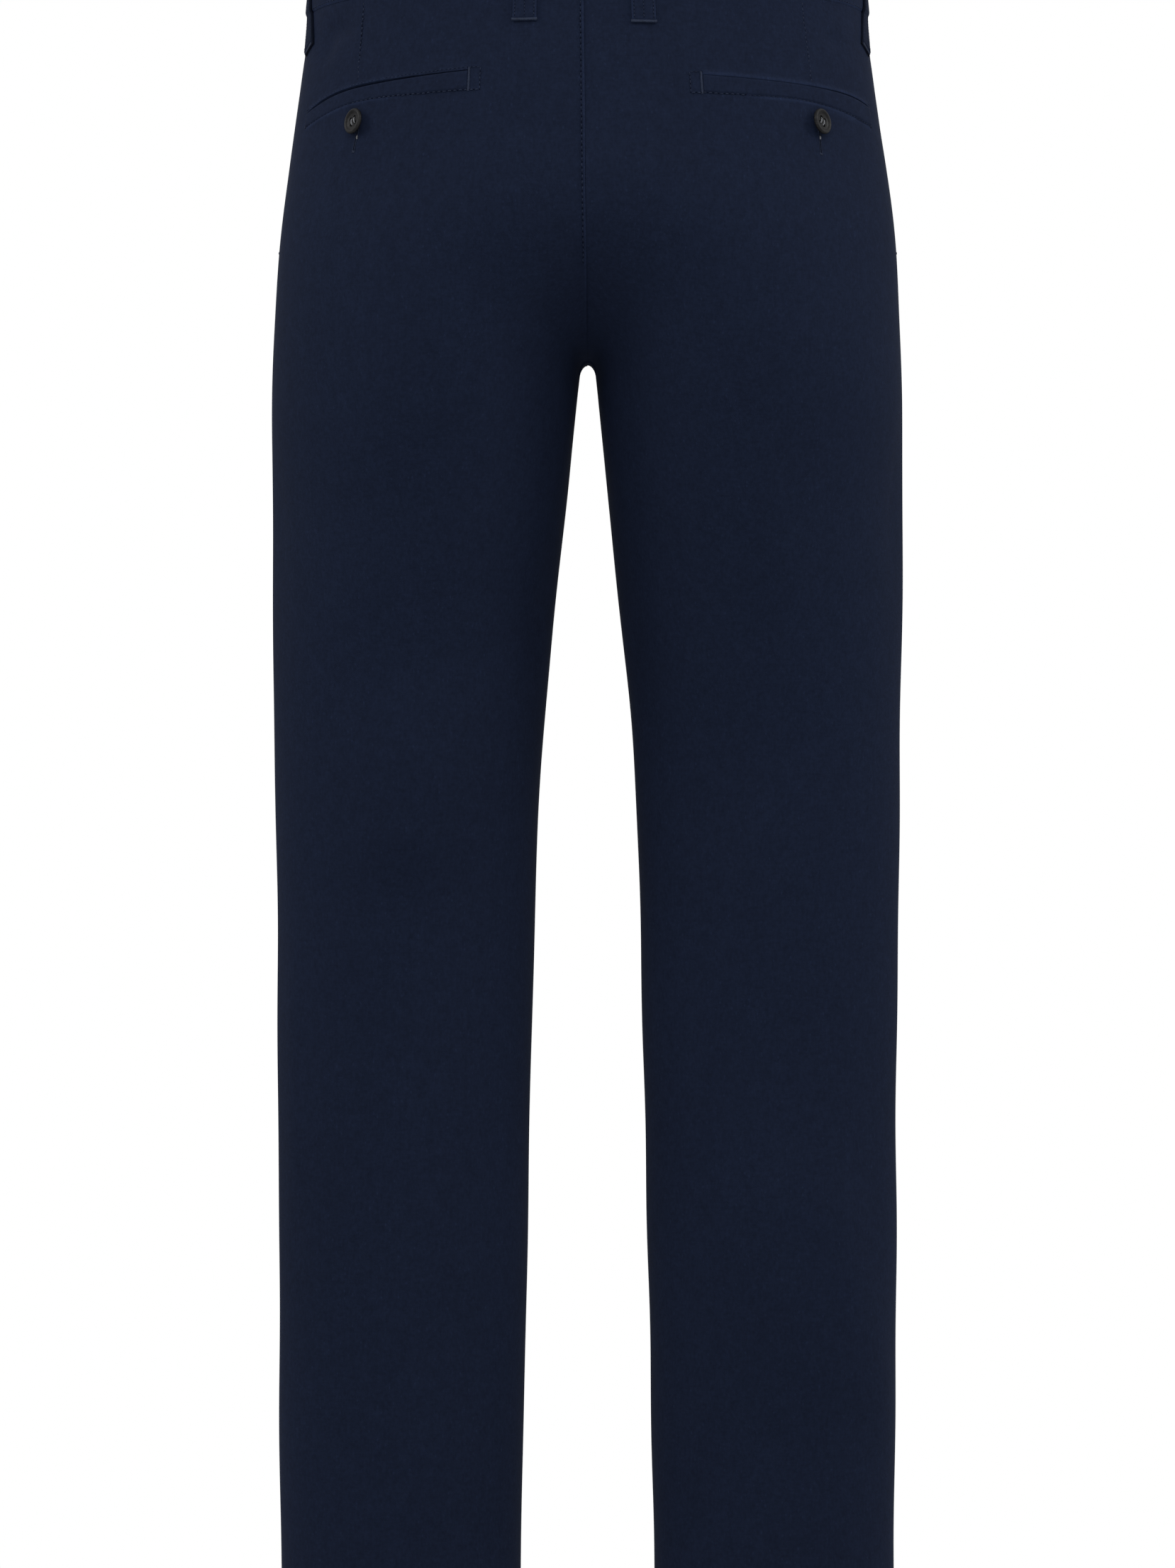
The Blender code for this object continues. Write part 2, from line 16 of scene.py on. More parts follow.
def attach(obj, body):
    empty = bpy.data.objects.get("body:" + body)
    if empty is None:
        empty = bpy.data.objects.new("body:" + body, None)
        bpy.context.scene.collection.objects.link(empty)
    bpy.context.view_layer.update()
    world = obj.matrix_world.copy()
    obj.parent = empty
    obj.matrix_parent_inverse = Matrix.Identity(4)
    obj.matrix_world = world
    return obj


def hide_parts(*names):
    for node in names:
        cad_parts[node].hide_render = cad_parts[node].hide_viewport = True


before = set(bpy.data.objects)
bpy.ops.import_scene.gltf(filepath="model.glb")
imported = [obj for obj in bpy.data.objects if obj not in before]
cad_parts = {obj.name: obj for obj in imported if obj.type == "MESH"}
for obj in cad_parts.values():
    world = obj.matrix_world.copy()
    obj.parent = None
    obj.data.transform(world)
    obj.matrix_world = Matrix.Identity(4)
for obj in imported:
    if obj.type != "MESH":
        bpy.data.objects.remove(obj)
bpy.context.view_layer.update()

MM = 0.001
HANDS = ((1, "left"), (-1, "right"))

# ---- the garment's sizes, as the CAD model has them ----

WAIST_SEAM = 204.0  # lower edge of the waistband at the side
BAND_HEIGHT = 38.0
INSEAM = 820.0
HEM_TURN_UP = 36.0
HEM_TOP = HEM_TURN_UP - INSEAM
ORIGIN_HEIGHT = WAIST_SEAM + BAND_HEIGHT / 2
WAIST_RISE_BACK = 4.0  # from the side to the centre back
WAIST_DROP_FRONT = 14.0
LEAN = 2.2  # sideways lean of the body at the waist
# Sections of one half, from the top of the waistband to the hem
#    height, half width, half gap between the legs, half depth, middle of the depth
SECTIONS = np.array((
    (250.0, 160.3, 0.0, 113.5, -1.5),
    (204.0, 162.8, 0.0, 117.0, 0.0),
    (164.0, 167.8, 0.0, 121.5, 4.0),
    (114.0, 174.5, 0.0, 126.0, 8.5),
    (64.0, 180.3, 0.6, 132.0, 11.0),
    (14.0, 183.3, 3.0, 132.0, 8.0),
    (-61.0, 185.1, 10.2, 112.0, 2.5),
    (-161.0, 184.9, 20.8, 89.5, -3.5),
    (-261.0, 183.5, 28.7, 73.0, -6.0),
    (-361.0, 182.5, 31.8, 63.5, -4.0),
    (-536.0, 181.1, 35.7, 58.5, 3.0),
    (-708.0, 179.7, 39.1, 56.5, 8.0),
    (-830.0, 178.8, 41.4, 56.0, 10.0),
))[::-1]
TORSO_POWER = 2.2  # of the superellipse of the torso's section
CROTCH_REACH_BACK = 112.0  # height over which the centre back seam turns under the body
CROTCH_REACH_FRONT = 86.0
THIGH_EASE = 170.0  # how far from the crotch the thigh's sides begin to open into the torso
THIGH_EASE_POWER = 2.2
ARCH_HEIGHT = 8.0  # the small arch between the legs under the crotch
ARCH_SPREAD = 200.0

FLY_WIDTH = 36.0
FLY_LAP = 5.0  # how far the left front laps over the right one
FLY_BOTTOM = 48.0
FLY_CURVE = 40.0  # height of the J at the foot of the fly
UNDERLAP = 36.0  # of the waistband's right end behind its left end
UNDERLAP_EASE = 9.0  # over which the right side comes up again
SLANT_TOP = 52.0  # of the front pocket, from the side seam along the waistband
SLANT_BOTTOM = 62.0
FACING_UNDER = 20.0  # how far the pocket's facing reaches behind the front
FACING_EASE = 26.0
FACING_DEPTH = 1.9
# Belt loops: name, distance of the top from the centre line (None: near the side seam), 1 at the back or -1
#    at the front, drop of the foot below the waistband, how much further back the foot is sewn, swell over
#    the seam
LOOP_PLACES = (
    ("back", 33.2, 1, 23.5, 0.0, 0.0),
    ("side", None, 1, 24.5, 30.0, 0.2),
    ("front", 80.0, -1, 20.0, 0.0, 0.0),
)
SIDE_LOOP_PLACE = 2.0  # behind the side seam
LOOP_WIDTH = 13.5
LOOP_THICKNESS = 1.5
LOOP_OVERHANG = 1.0  # of the folded top above the waistband
LOOP_GAP = 7.6  # at its widest
LOOP_GAP_PLACE = 14.5  # down from the top, where it is widest
LOOP_GAP_END = 30.0  # down from the top, where the loop meets the cloth again
LAID_GAP = 0.4  # under a piece that lies on another
WELT_START = (66.0, 156.0)  # distance of the back pocket's inner end from the centre back, and its level
# The welt of each side: length of cloth outward from its inner end, heights of its top and bottom edges
WELT_LINES = {
    1: (
        (0.0, 156.7, 145.3), (30.0, 154.5, 144.2), (60.0, 152.2, 143.2), (80.0, 150.0, 141.0),
        (95.0, 147.1, 137.6), (106.0, 144.2, 134.9), (119.0, 140.6, 131.9),
    ),
    -1: (
        (0.0, 154.0, 143.6), (30.0, 152.9, 143.2), (60.0, 151.6, 142.5), (82.0, 150.3, 140.0),
        (98.0, 148.9, 137.3), (110.0, 147.2, 135.1), (123.0, 144.6, 132.9),
    ),
}
POCKET_BUTTON_PLACE = (132.3, 130.2)  # distance from the centre back, height
WAIST_BUTTON_PLACE = 13.0

# ---- what the dressed garment has beyond them ----

CLOTH_THICKNESS = 1.2
DOUBLE_CLOTH = 2.4  # of the waistband and the turned-up hem
RIGHT_LOOP_DROP = 1.2  # how much lower the right back loop reaches than the left one
LOOP_EDGE_STITCH = 5.4  # from the middle of a loop
LOOP_TACK = 1.0  # from its lower end
BAND_RISE = 0.95  # of the waistband above the panels
BAND_STITCH = 1.3  # from the waistband's lower edge
BAND_LOW = 1.0  # how far the waistband's rolled lower edge comes down over the panels
BAND_DIP = 3.2  # of the waistband's right end behind its left end
FRONT_DIP = 1.6  # of the right front behind the fly
CENTRE_STITCH = 2.0  # from the centre back seam
CENTRE_STITCH_END = 48.0
SLANT_STITCH = 6.0  # from the slant pocket's edge
FLY_RISE = 0.75
FLY_SINK = 0.45  # of the fly's edge into the front
FLY_STITCHES = (3.0, 8.0)  # inward from the fly's edge
# The two ends of each dart: height, place around
DARTS = {1: ((204.0, 0.4470), (155.0, 0.4580)), -1: ((204.0, 0.4722), (155.0, 0.4711))}
DART_SCALE = 250.0  # millimetres of cloth for one unit of around
CREASE_TOP = 64.0
CREASE_BOTTOM = -24.0
CREASE_FADE = 18.0
CREASE_DEPTH = 18.0  # at the crotch
CREASE_SLOPE = (2.5, 24.0)  # depth and half width of the hollow on both sides of the crease
# The back pockets: half height of the mouth where shut and what it gains where open, its depth, the rise of
#    the lip above it, the radius of the dark needle-hole rods there (painted shade), and lengths along the
#    welt from and to which the mouth opens, closes (from the end), deepens, the lip and the lower ridge come
#    to be painted paler (rubbed wear and painted highlight); points with heavy stitches
POCKETS = {
    1: {
        "shut": 0.13, "open": 0.42, "depth": 3.2, "lip": 0.5, "hole": 0.15, "heavy": 78, "opening": (10, 60),
        "closing": (0, 14), "deepening": (-2, -1), "lip_wear_and_highlight": (25, 65), "ridge_wear_and_highlight": (25, 70),
    },
    -1: {
        "shut": 0.02, "open": 0.15, "depth": 1.5, "lip": 0.7, "hole": 0.1, "heavy": 30, "opening": (60, 95),
        "closing": (-4, 6), "deepening": (55, 90), "lip_wear_and_highlight": (-2, -1), "ridge_wear_and_highlight": (25, 35),
    },
}
POCKET_STITCH_END = -7.3  # of the rows past the pocket's inner end
# Each back buttonhole's upper and lower ends, as distances inward from the button's place
BUTTONHOLES = {1: (3.4, 1.9), -1: (0.9, 1.2)}
BUTTONHOLE_FOOT = {1: 113.0, -1: 111.8}
BUTTON_SHIFTS = {1: 2.6, -1: 1.1}  # how far each back button is pulled in towards the centre by its thread
BUTTON_TURNS = {1: 0.35, -1: -0.5}
BUTTON_TILT = math.radians(13)
POCKET_BUTTON_SIZE = 15.0
WAIST_BUTTON_SIZE = 17.0

# Soft folds on the back of the legs, each along a line that runs downward: its points (sideways from the
#    centre, height), half widths towards the wearer's right and left, rise
FOLDS = (
    (((-164.0, -20.0), (-150.0, -75.0), (-124.0, -118.0), (-102.0, -184.0), (-80.0, -300.0)),
     60.0, 80.0, -6.5),
    (((-130.0, -440.0), (-145.0, -520.0), (-170.0, -640.0)), 18.0, 46.0, 5.0),
    (((126.0, -30.0), (116.0, -95.0), (86.0, -145.0), (80.0, -250.0)), 60.0, 70.0, -6.5),
    (((46.0, -165.0), (78.0, -230.0), (112.0, -320.0)), 28.0, 60.0, 5.5),
    (((172.0, -300.0), (171.0, -520.0)), 8.0, 6.0, 1.4),
)
FOLD_ENDS = 0.3  # the share of a fold's length over which it comes up and dies away
# Dents of the cloth beside the side belt loops: centre (sideways, height), half widths, depth
DENTS = ((144.0, 188.0, 10.0, 7.0, 3.6), (151.0, 178.0, 5.0, 8.0, 3.2), (-141.0, 181.0, 6.0, 5.0, 1.6))
# Long shallow swells of the whole garment: wave lengths across and down, phases, size
SWELLS = ((90.0, 210.0, 0.4, 1.7, 0.35), (62.0, 330.0, 2.1, 0.3, 0.25), (140.0, 120.0, 4.0, 2.9, 0.3))


# ---- curves and the surface ----


def ramp(value, start, end):
    """0 before start, 1 past end and smooth between them. It falls where end is the lower one."""
    share = np.clip((value - start) / (end - start), 0.0, 1.0)
    return share * share * (3 - 2 * share)


def bump(value, width):
    """A bell around 0."""
    return np.exp(-((value / width) ** 2))


def smooth_curve(where, known, values):
    """A curve through values that are known at rising places."""
    slopes = np.gradient(values, known)
    where = np.clip(where, known[0], known[-1])
    i = np.clip(np.searchsorted(known, where) - 1, 0, len(known) - 2)
    span = known[i + 1] - known[i]
    t = (where - known[i]) / span
    start = (1 + 2 * t) * (1 - t) ** 2 * values[i] + t * (1 - t) ** 2 * span * slopes[i]
    end = t * t * (3 - 2 * t) * values[i + 1] + t * t * (t - 1) * span * slopes[i + 1]
    return start + end


def eased_ramp(height, ease):
    ease = np.maximum(ease, 1e-6)
    t = np.clip((height + ease) / (2 * ease), 0.0, 1.0)
    return np.where(height > ease, height, ease * (2 * t**3 - t**4))


def quarter_round(value):
    return np.sqrt(1 - (1 - np.clip(value, 0.0, 1.0)) ** 2)


def signed_power(value, power):
    return np.sign(value) * np.abs(value) ** power


def unit(vectors):
    return vectors / np.maximum(np.linalg.norm(vectors, axis=-1, keepdims=True), 1e-12)


def surface(side, around, height):
    """Points of the outer surface.

    around is -1 at the centre front, 0 at the side seam and 1 at the centre back.
    """
    around, height = np.broadcast_arrays(np.asarray(around, float), np.asarray(height, float))
    past = np.abs(around) > 1
    mirrored = past & (height >= 0)
    side = np.where(mirrored, -side, side)
    around = np.where(mirrored, np.sign(around) * 2 - around, around)
    around = np.where(past & ~mirrored, around - np.sign(around) * 2, around)
    width, gap, depth, middle = (smooth_curve(height, SECTIONS[:, 0], column) for column in SECTIONS.T[1:])
    inner = 1 - np.abs(around)
    arch = quarter_round((np.maximum(-height, 0) + ARCH_SPREAD * inner) / ARCH_HEIGHT)
    gap = np.maximum(gap, 0) * arch
    leg_x = gap + (width - gap) * (1 + np.cos(np.pi * around)) / 2
    leg_y = depth * np.sin(np.pi * around)
    turn = np.pi / 2 * around
    torso_x = width * signed_power(np.cos(turn), 2 / TORSO_POWER)
    torso_y = depth * signed_power(np.sin(turn), 2 / TORSO_POWER)
    reach = np.where(around > 0, CROTCH_REACH_BACK, CROTCH_REACH_FRONT)
    ease = THIGH_EASE * (1 - (1 - inner) ** THIGH_EASE_POWER)
    torso = quarter_round(eased_ramp(height, ease) / reach)
    x = leg_x + torso * (torso_x - leg_x)
    y = middle + leg_y + torso * (torso_y - leg_y)
    lean = LEAN * height / WAIST_SEAM * (1 - np.minimum(x / width, 1) ** 2)
    return np.stack([side * x + np.where(height > 0, lean, 0), y, height], axis=-1)


def normals(side, around, height):
    step, lift = 0.002, 0.5
    across = surface(side, around + step, height) - surface(side, around - step, height)
    upward = surface(side, around, height + lift) - surface(side, around, height - lift)
    return unit(side * np.cross(across, upward))


def waist_line(around, above=0.0):
    """The waistband's lower edge, or a line above it."""
    swing = np.sin(np.pi / 2 * np.asarray(around, float))
    return WAIST_SEAM + np.where(swing > 0, WAIST_RISE_BACK, -WAIST_DROP_FRONT) * swing**2 + above


def tilted(around, height):
    """A level row near the waist, tilted to follow the waistband."""
    return height + ramp(height, CROTCH_REACH_BACK, WAIST_SEAM) * (waist_line(around) - WAIST_SEAM)


def from_centre_line(around, height, half=-1.0):
    return surface(1, around, height)[..., 0] - surface(1, half, height)[..., 0]


def around_at_x(distance, height, half):
    """The place at the back (half is 1) or the front (half is -1) that is a distance from the centre line."""
    tries = half * np.linspace(1, 0, 241)
    return float(np.interp(distance, from_centre_line(tries, height, half), tries))


def past_front(distance, height):
    """The place on the other half that is a distance past the centre front."""
    return -2 - around_at_x(distance, height, -1)


def run_of(height):
    """Places around one level, and the length of cloth from the centre front to each."""
    tries = np.linspace(-1, 1, 801)
    steps = np.linalg.norm(np.diff(surface(1, tries, height), axis=0), axis=1)
    return tries, np.concatenate([[0], np.cumsum(steps)])


def length_between(line, first, second):
    """The length of cloth between two places on a line that run_of gave."""
    return np.interp(second, *line) - np.interp(first, *line)


def around_from(start, length, height):
    """The places that are lengths of cloth away from start along one level, towards the back if positive."""
    tries, run = run_of(height)
    return np.interp(np.interp(start, tries, run) + length, run, tries)


def to_world(points):
    return (np.asarray(points) - np.array([0.0, 0.0, ORIGIN_HEIGHT])) * MM


# ---- materials ----


def connect(tree, made, inputs):
    """Sets a node's inputs, and links those whose value is another node's output."""
    for name, value in inputs.items():
        if isinstance(value, bpy.types.NodeSocket):
            tree.links.new(value, made.inputs[name])
        else:
            made.inputs[name].default_value = value


def add_node(tree, kind, inputs, **settings):
    made = tree.nodes.new(kind)
    for name, value in settings.items():
        setattr(made, name, value)
    connect(tree, made, inputs)
    return made


def linear(code):
    """An sRGB colour of 0 to 255 as linear numbers."""
    parts = [value / 255 for value in code]
    return tuple(part / 12.92 if part <= 0.04045 else ((part + 0.055) / 1.055) ** 2.4 for part in parts)


class Paint:
    """A material whose colour is one dye, at a strength that nodes work out from place to place."""

    def __init__(self, name):
        self.made = bpy.data.materials.new(name)
        self.made.use_nodes = True
        self.tree = self.made.node_tree
        self.place = add_node(self.tree, "ShaderNodeTexCoord", {}).outputs["Object"]

    def mapped(self, scale, rotation=(0.0, 0.0, 0.0)):
        inputs = {"Vector": self.place, "Scale": scale, "Rotation": rotation}
        return add_node(self.tree, "ShaderNodeMapping", inputs).outputs["Vector"]

    def noise(self, vector, detail, roughness=0.5, distortion=0.0):
        inputs = {"Vector": vector, "Scale": 1.0, "Detail": detail, "Roughness": roughness}
        return add_node(self.tree, "ShaderNodeTexNoise", inputs | {"Distortion": distortion}).outputs["Fac"]

    def ranged(self, value, low, high, least, most):
        inputs = {"Value": value, "From Min": least, "From Max": most, "To Min": low, "To Max": high}
        return add_node(self.tree, "ShaderNodeMapRange", inputs).outputs["Result"]

    def math(self, operation, first, second):
        made = add_node(self.tree, "ShaderNodeMath", {0: first, 1: second}, operation=operation)
        return made.outputs["Value"]

    def product(self, first, *others):
        for other in others:
            first = self.math("MULTIPLY", first, other)
        return first

    def finish(self, colour, strength, **surface_values):
        """Dyes the shader, and sets its other values, whose names have _ for a space."""
        inputs = {0: linear(colour), "Scale": strength}
        dye = add_node(self.tree, "ShaderNodeVectorMath", inputs, operation="SCALE")
        values = {name.replace("_", " "): value for name, value in surface_values.items()}
        values["Base Color"] = dye.outputs["Vector"]
        connect(self.tree, self.tree.nodes["Principled BSDF"], values)
        return self.made


# The cloth's tones: cells in a metre along x, y and z, detail, how far the tone swings both ways
CLOTH_TONES = {
    "warp": ((1000.0, 1000.0, 170.0), 2.0, 0.05),
    "weft": ((170.0, 170.0, 1100.0), 2.0, 0.05),
    "mottle": ((540.0, 540.0, 440.0), 3.0, 0.135),
    "patch": ((150.0, 150.0, 125.0), 3.0, 0.07),
    "cloud": ((11.0, 11.0, 7.0), 2.0, 0.035),
}
FIBRE_SCALE = (420.0, 420.0, 230.0)
FIBRE_SHARE = 0.74  # of the cells, that have no pale fibre
FIBRE_STRENGTH = 0.38


def cloth_material(name, colour):
    """Matt cotton: fine warp and weft streaks, mottled dye, single pale fibres, and edges painted paler, as
    rubbed wear and painted highlight, or darker, as painted shade.
    """
    paint = Paint(name)
    tones = {
        tone: paint.ranged(paint.noise(paint.mapped(scale), detail, 0.6), 1 - swing, 1 + swing, 0.32, 0.68)
        for tone, (scale, detail, swing) in CLOTH_TONES.items()
    }
    cells = add_node(paint.tree, "ShaderNodeTexVoronoi", {"Vector": paint.mapped(FIBRE_SCALE), "Scale": 1.0})
    chance = add_node(paint.tree, "ShaderNodeSeparateColor", {"Color": cells.outputs["Color"]}).outputs["Red"]
    spot = paint.ranged(cells.outputs["Distance"], 1.0, 0.0, 0.08, 0.26)
    fibres = paint.product(spot, paint.math("GREATER_THAN", chance, FIBRE_SHARE), FIBRE_STRENGTH)
    strength = paint.math("ADD", paint.product(*tones.values()), fibres)
    # Folded edges and ridges are painted paler, partly as rubbed wear and partly as painted highlight; values
    # below 0 are painted shade
    wear = add_node(paint.tree, "ShaderNodeAttribute", {}, attribute_name="wear").outputs["Fac"]
    strength = paint.product(strength, paint.math("ADD", wear, 1.0))
    threads = paint.math("ADD", paint.product(tones["warp"], tones["weft"]), tones["mottle"])
    relief = add_node(paint.tree, "ShaderNodeBump", {"Strength": 0.35, "Distance": 0.0002, "Height": threads})
    surface_values = {"Normal": relief.outputs["Normal"], "Roughness": 0.92, "Diffuse_Roughness": 0.5}
    return paint.finish(colour, strength, Specular_IOR_Level=0.08, **surface_values)


def thread_material(name, colour, gloss=0.12):
    """Twisted sewing thread, a little glossier than the cloth."""
    paint = Paint(name)
    shade = paint.ranged(paint.noise(paint.mapped((1400.0, 1400.0, 1400.0)), 1.0), 0.7, 1.3, 0.3, 0.7)
    return paint.finish(colour, shade, Roughness=0.6, Specular_IOR_Level=gloss)


def horn_material(name, colour):
    """Dark resin with faint streaks, like horn."""
    paint = Paint(name)
    streaks = paint.noise(paint.mapped((260.0, 160.0, 520.0), (0.3, 0.5, 0.9)), 4.0, distortion=1.2)
    shade = paint.ranged(streaks, 0.65, 1.5, 0.3, 0.7)
    return paint.finish(colour, shade, Roughness=0.4, Specular_IOR_Level=0.16)


CLOTH = cloth_material("navy_cotton", (23.4, 31.5, 51.0))
HORN = horn_material("dark_horn", (26, 26, 27))
THREAD, HOLE_SHADE, TACK_THREAD_HIGHLIGHT, PALE_THREAD_GLINT = range(4)
SEWING_PAINTS = (
    thread_material("navy_thread", (33, 41, 60)),
    # Dark rods between stitches and along slits: painted shade for the hollows of needle holes and slits
    thread_material("needle_hole", (14, 18, 30), 0.0),
    # Bartack thread painted a little paler than the navy thread: painted highlight for the light its raised
    # stitches catch
    thread_material("tack_thread", (37, 45, 63)),
    # Pale thread, partly painted highlight: the glints on the buttons' thread and below each back button
    thread_material("pale_thread", (112, 114, 118)),
)


# ---- closed shells ----


def add_object(name, data):
    made = bpy.data.objects.new(name, data)
    bpy.context.scene.collection.objects.link(made)
    return made


def mesh_object(name, points, faces, paints=(), sharp=None):
    """A smoothly shaded mesh, sharp where its faces meet at more than sharp degrees."""
    mesh = bpy.data.meshes.new(name)
    mesh.from_pydata(points.tolist(), [], faces)
    mesh.update()
    for paint in paints:
        mesh.materials.append(paint)
    mesh.shade_smooth()
    if sharp:
        mesh.set_sharp_from_angle(angle=math.radians(sharp))
    return add_object(name, mesh)


def grid_faces(rows, columns):
    index = np.arange(rows * columns).reshape(rows, columns)
    corners = (index[:-1, :-1], index[1:, :-1], index[1:, 1:], index[:-1, 1:])
    return np.stack(corners, axis=-1).reshape(-1, 4)


def tube_faces(rings, sides, start):
    """The faces of a tube from the first ring of points to the last, and of its two ends.

    start is the number of points before the first ring.
    """
    index = start + np.arange(rings * sides).reshape(rings, sides)
    after = np.roll(index, -1, axis=1)
    walls = np.stack([index[:-1], after[:-1], after[1:], index[1:]], axis=-1).reshape(-1, 4)
    return [*walls.tolist(), index[0, ::-1].tolist(), index[-1].tolist()]


def ring(radius, sides, lift, centre=(0.0, 0.0)):
    """Points of a level circle."""
    turns = 2 * np.pi * np.arange(sides) / sides
    x, y = centre[0] + radius * np.cos(turns), centre[1] + radius * np.sin(turns)
    return np.stack([x, y, np.full(sides, lift)], axis=1)


cloths = []


def dress(node, side, around, height, out, thickness, wear=0.0):
    """A closed shell in place of a CAD node, whose outer face lies a distance out from the surface.

    Rows go down, and columns may run either way. The wear value paints the cloth paler, as rubbed wear and
    painted highlight, or darker if below 0, as painted shade.
    """
    around, height, out, thickness, wear = np.broadcast_arrays(around, height, out, thickness, wear)
    base, direction = surface(side, around, height), normals(side, around, height)
    layers = [base + direction * off[..., None] for off in (out, out - thickness)]
    if around[0, 0] > around[0, -1]:
        layers, wear = [layer[:, ::-1] for layer in layers], wear[:, ::-1]
    rows, columns = wear.shape
    count = rows * columns
    front = grid_faces(rows, columns)
    index = np.arange(count).reshape(rows, columns)
    rims = []
    for edge in (index[0], index[:, -1], index[-1, ::-1], index[::-1, 0]):
        rims.append(np.stack([edge[:-1], edge[1:], edge[1:] + count, edge[:-1] + count], axis=-1))
    faces = np.concatenate([front, front[:, ::-1] + count, *rims])
    if side < 0:
        faces = faces[:, ::-1]
    points = np.concatenate([to_world(layer).reshape(-1, 3) for layer in layers])
    made = mesh_object(f"cloth_{node}", points, faces.tolist(), (CLOTH,), 60)
    # The inner layer takes the painted shade, but not the paler rubbed wear and painted highlight
    values = np.concatenate([wear.ravel(), np.minimum(wear.ravel(), 0)])
    wear_and_light_layer = made.data.attributes.new("wear", "FLOAT", "POINT")
    wear_and_light_layer.data.foreach_set("value", values.astype(np.float32))
    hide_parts(node)
    cloths.append(made)
    return made


# Columns near the edges of a panel, as lengths from the edge
EDGE_STEPS = np.array([0.0, 0.3, 0.6, 1.0, 1.5, 2.1, 2.8, 3.7, 4.8, 6.2, 8.0, 10.0])


def columns_between(starts, ends, levels, middle, extra=()):
    """Columns from starts to ends on every row, close together near both edges.

    extra holds (length from the start, half width) of places in the middle that also get close columns.
    """
    shares = None
    grid = []
    for start, end, level in zip(starts, ends, levels):
        tries, run = run_of(level)
        a, b = np.interp([start, end], tries, run)
        length, way = abs(b - a), np.sign(b - a)
        edge = EDGE_STEPS * min(1.0, length / 2 / (EDGE_STEPS[-1] * 1.5))
        if shares is None:
            inner = np.linspace(edge[-1], length - edge[-1], middle)[1:-1]
            for place, width in extra:
                inner = inner[np.abs(inner - place) > width + 1.0]
                inner = np.sort(np.concatenate([inner, place + np.linspace(-width, width, 11)]))
            shares = (inner - edge[-1]) / (length - 2 * edge[-1])
        inner = edge[-1] + shares * (length - 2 * edge[-1])
        places = np.interp(a + way * np.concatenate([edge, inner, length - edge[::-1]]), run, tries)
        places[0], places[-1] = start, end
        grid.append(places)
    return np.array(grid)


def lower_levels(reach):
    """Levels of a panel's rows from the turn of its centre seam down to the hem."""
    curve = reach * (1 - np.cos(np.linspace(np.pi / 2, 0, 60)))
    under = -np.array([0.4, 1.0, 2.0, 3.2, 4.8, 6.6, 8.8, 11.5, 15.0, 19.0, 24.0, 29.5])
    leg = np.linspace(-35.0, HEM_TOP + 4, 124)
    hem = HEM_TOP - np.array([0.0, 1.2, 3.0, 6.0, 10.0, 15.0, 20.0, 25.0, 30.0, 33.0, 35.0, 35.7, 36.0])
    return np.concatenate([curve[1:], under, leg, hem])


def panel_thickness(height):
    return np.where(height < HEM_TOP, DOUBLE_CLOTH, CLOTH_THICKNESS)


def edge_distances(side, around, height):
    """Lengths of cloth on each row to its first and last column."""
    steps = np.linalg.norm(np.diff(surface(side, around, height), axis=1), axis=-1)
    run = np.concatenate([np.zeros((len(steps), 1)), np.cumsum(steps, axis=1)], axis=1)
    return run, run[:, -1:] - run


def seam_groove(distance, depth=0.9, width=0.75):
    """How deep the cloth turns in beside a seam."""
    return depth * bump(distance, width)


def cloth_relief(side, points):
    """Folds and swells, as a distance out from the surface."""
    x, y, z = points[..., 0], points[..., 1], points[..., 2]
    folds = np.zeros_like(x)
    for line, right, left, size in FOLDS:
        places, levels = np.array(line)[::-1].T
        slope = np.interp(z, levels, np.gradient(places, levels))
        off = (np.interp(z, levels, places) - x) / np.sqrt(1 + slope**2)
        share = (z - levels[0]) / (levels[-1] - levels[0])
        ends = ramp(share, 0, FOLD_ENDS) * ramp(share, 1, 1 - FOLD_ENDS)
        folds += size * bump(off, np.where(off > 0, right, left)) * ends
    out = folds * ramp(y, 4, 38)
    for across, down, first, second, size in SWELLS:
        wave = np.sin(x / across * 2 * np.pi + first + side) * np.sin(z / down * 2 * np.pi + second)
        out = out + size * wave
    return out


def relief_at(side, around, height):
    return cloth_relief(side, surface(side, around, height))


def hem_relief(height):
    """The turned-up hem is a little thicker, with a pulled line where it is sewn down."""
    return 0.45 * ramp(height, HEM_TOP, HEM_TOP - 2.0) - 0.4 * bump(height - HEM_TOP, 1.6)


# ---- the backs and their pockets ----

WELT_LEVEL = 150.0
WELT_START_AROUND = around_at_x(*WELT_START, 1)
WELT_RUN = run_of(WELT_START[1])


def along_welt(around):
    """Length of cloth outward from the welts' inner end."""
    return length_between(WELT_RUN, around, WELT_START_AROUND)


def from_along(along):
    tries, run = WELT_RUN
    return np.interp(np.interp(WELT_START_AROUND, tries, run) - along, run, tries)


def welt_edges(side, along):
    lengths, tops, bottoms = np.array(WELT_LINES[side]).T
    return smooth_curve(along, lengths, tops), smooth_curve(along, lengths, bottoms)


def mouth_width(side, along):
    """Half the height of the pocket's open mouth."""
    end, pocket = WELT_LINES[side][-1][0], POCKETS[side]
    first, last = pocket["closing"]
    opened = ramp(along, *pocket["opening"]) * ramp(along, end - first, end - last)
    return pocket["shut"] + pocket["open"] * opened


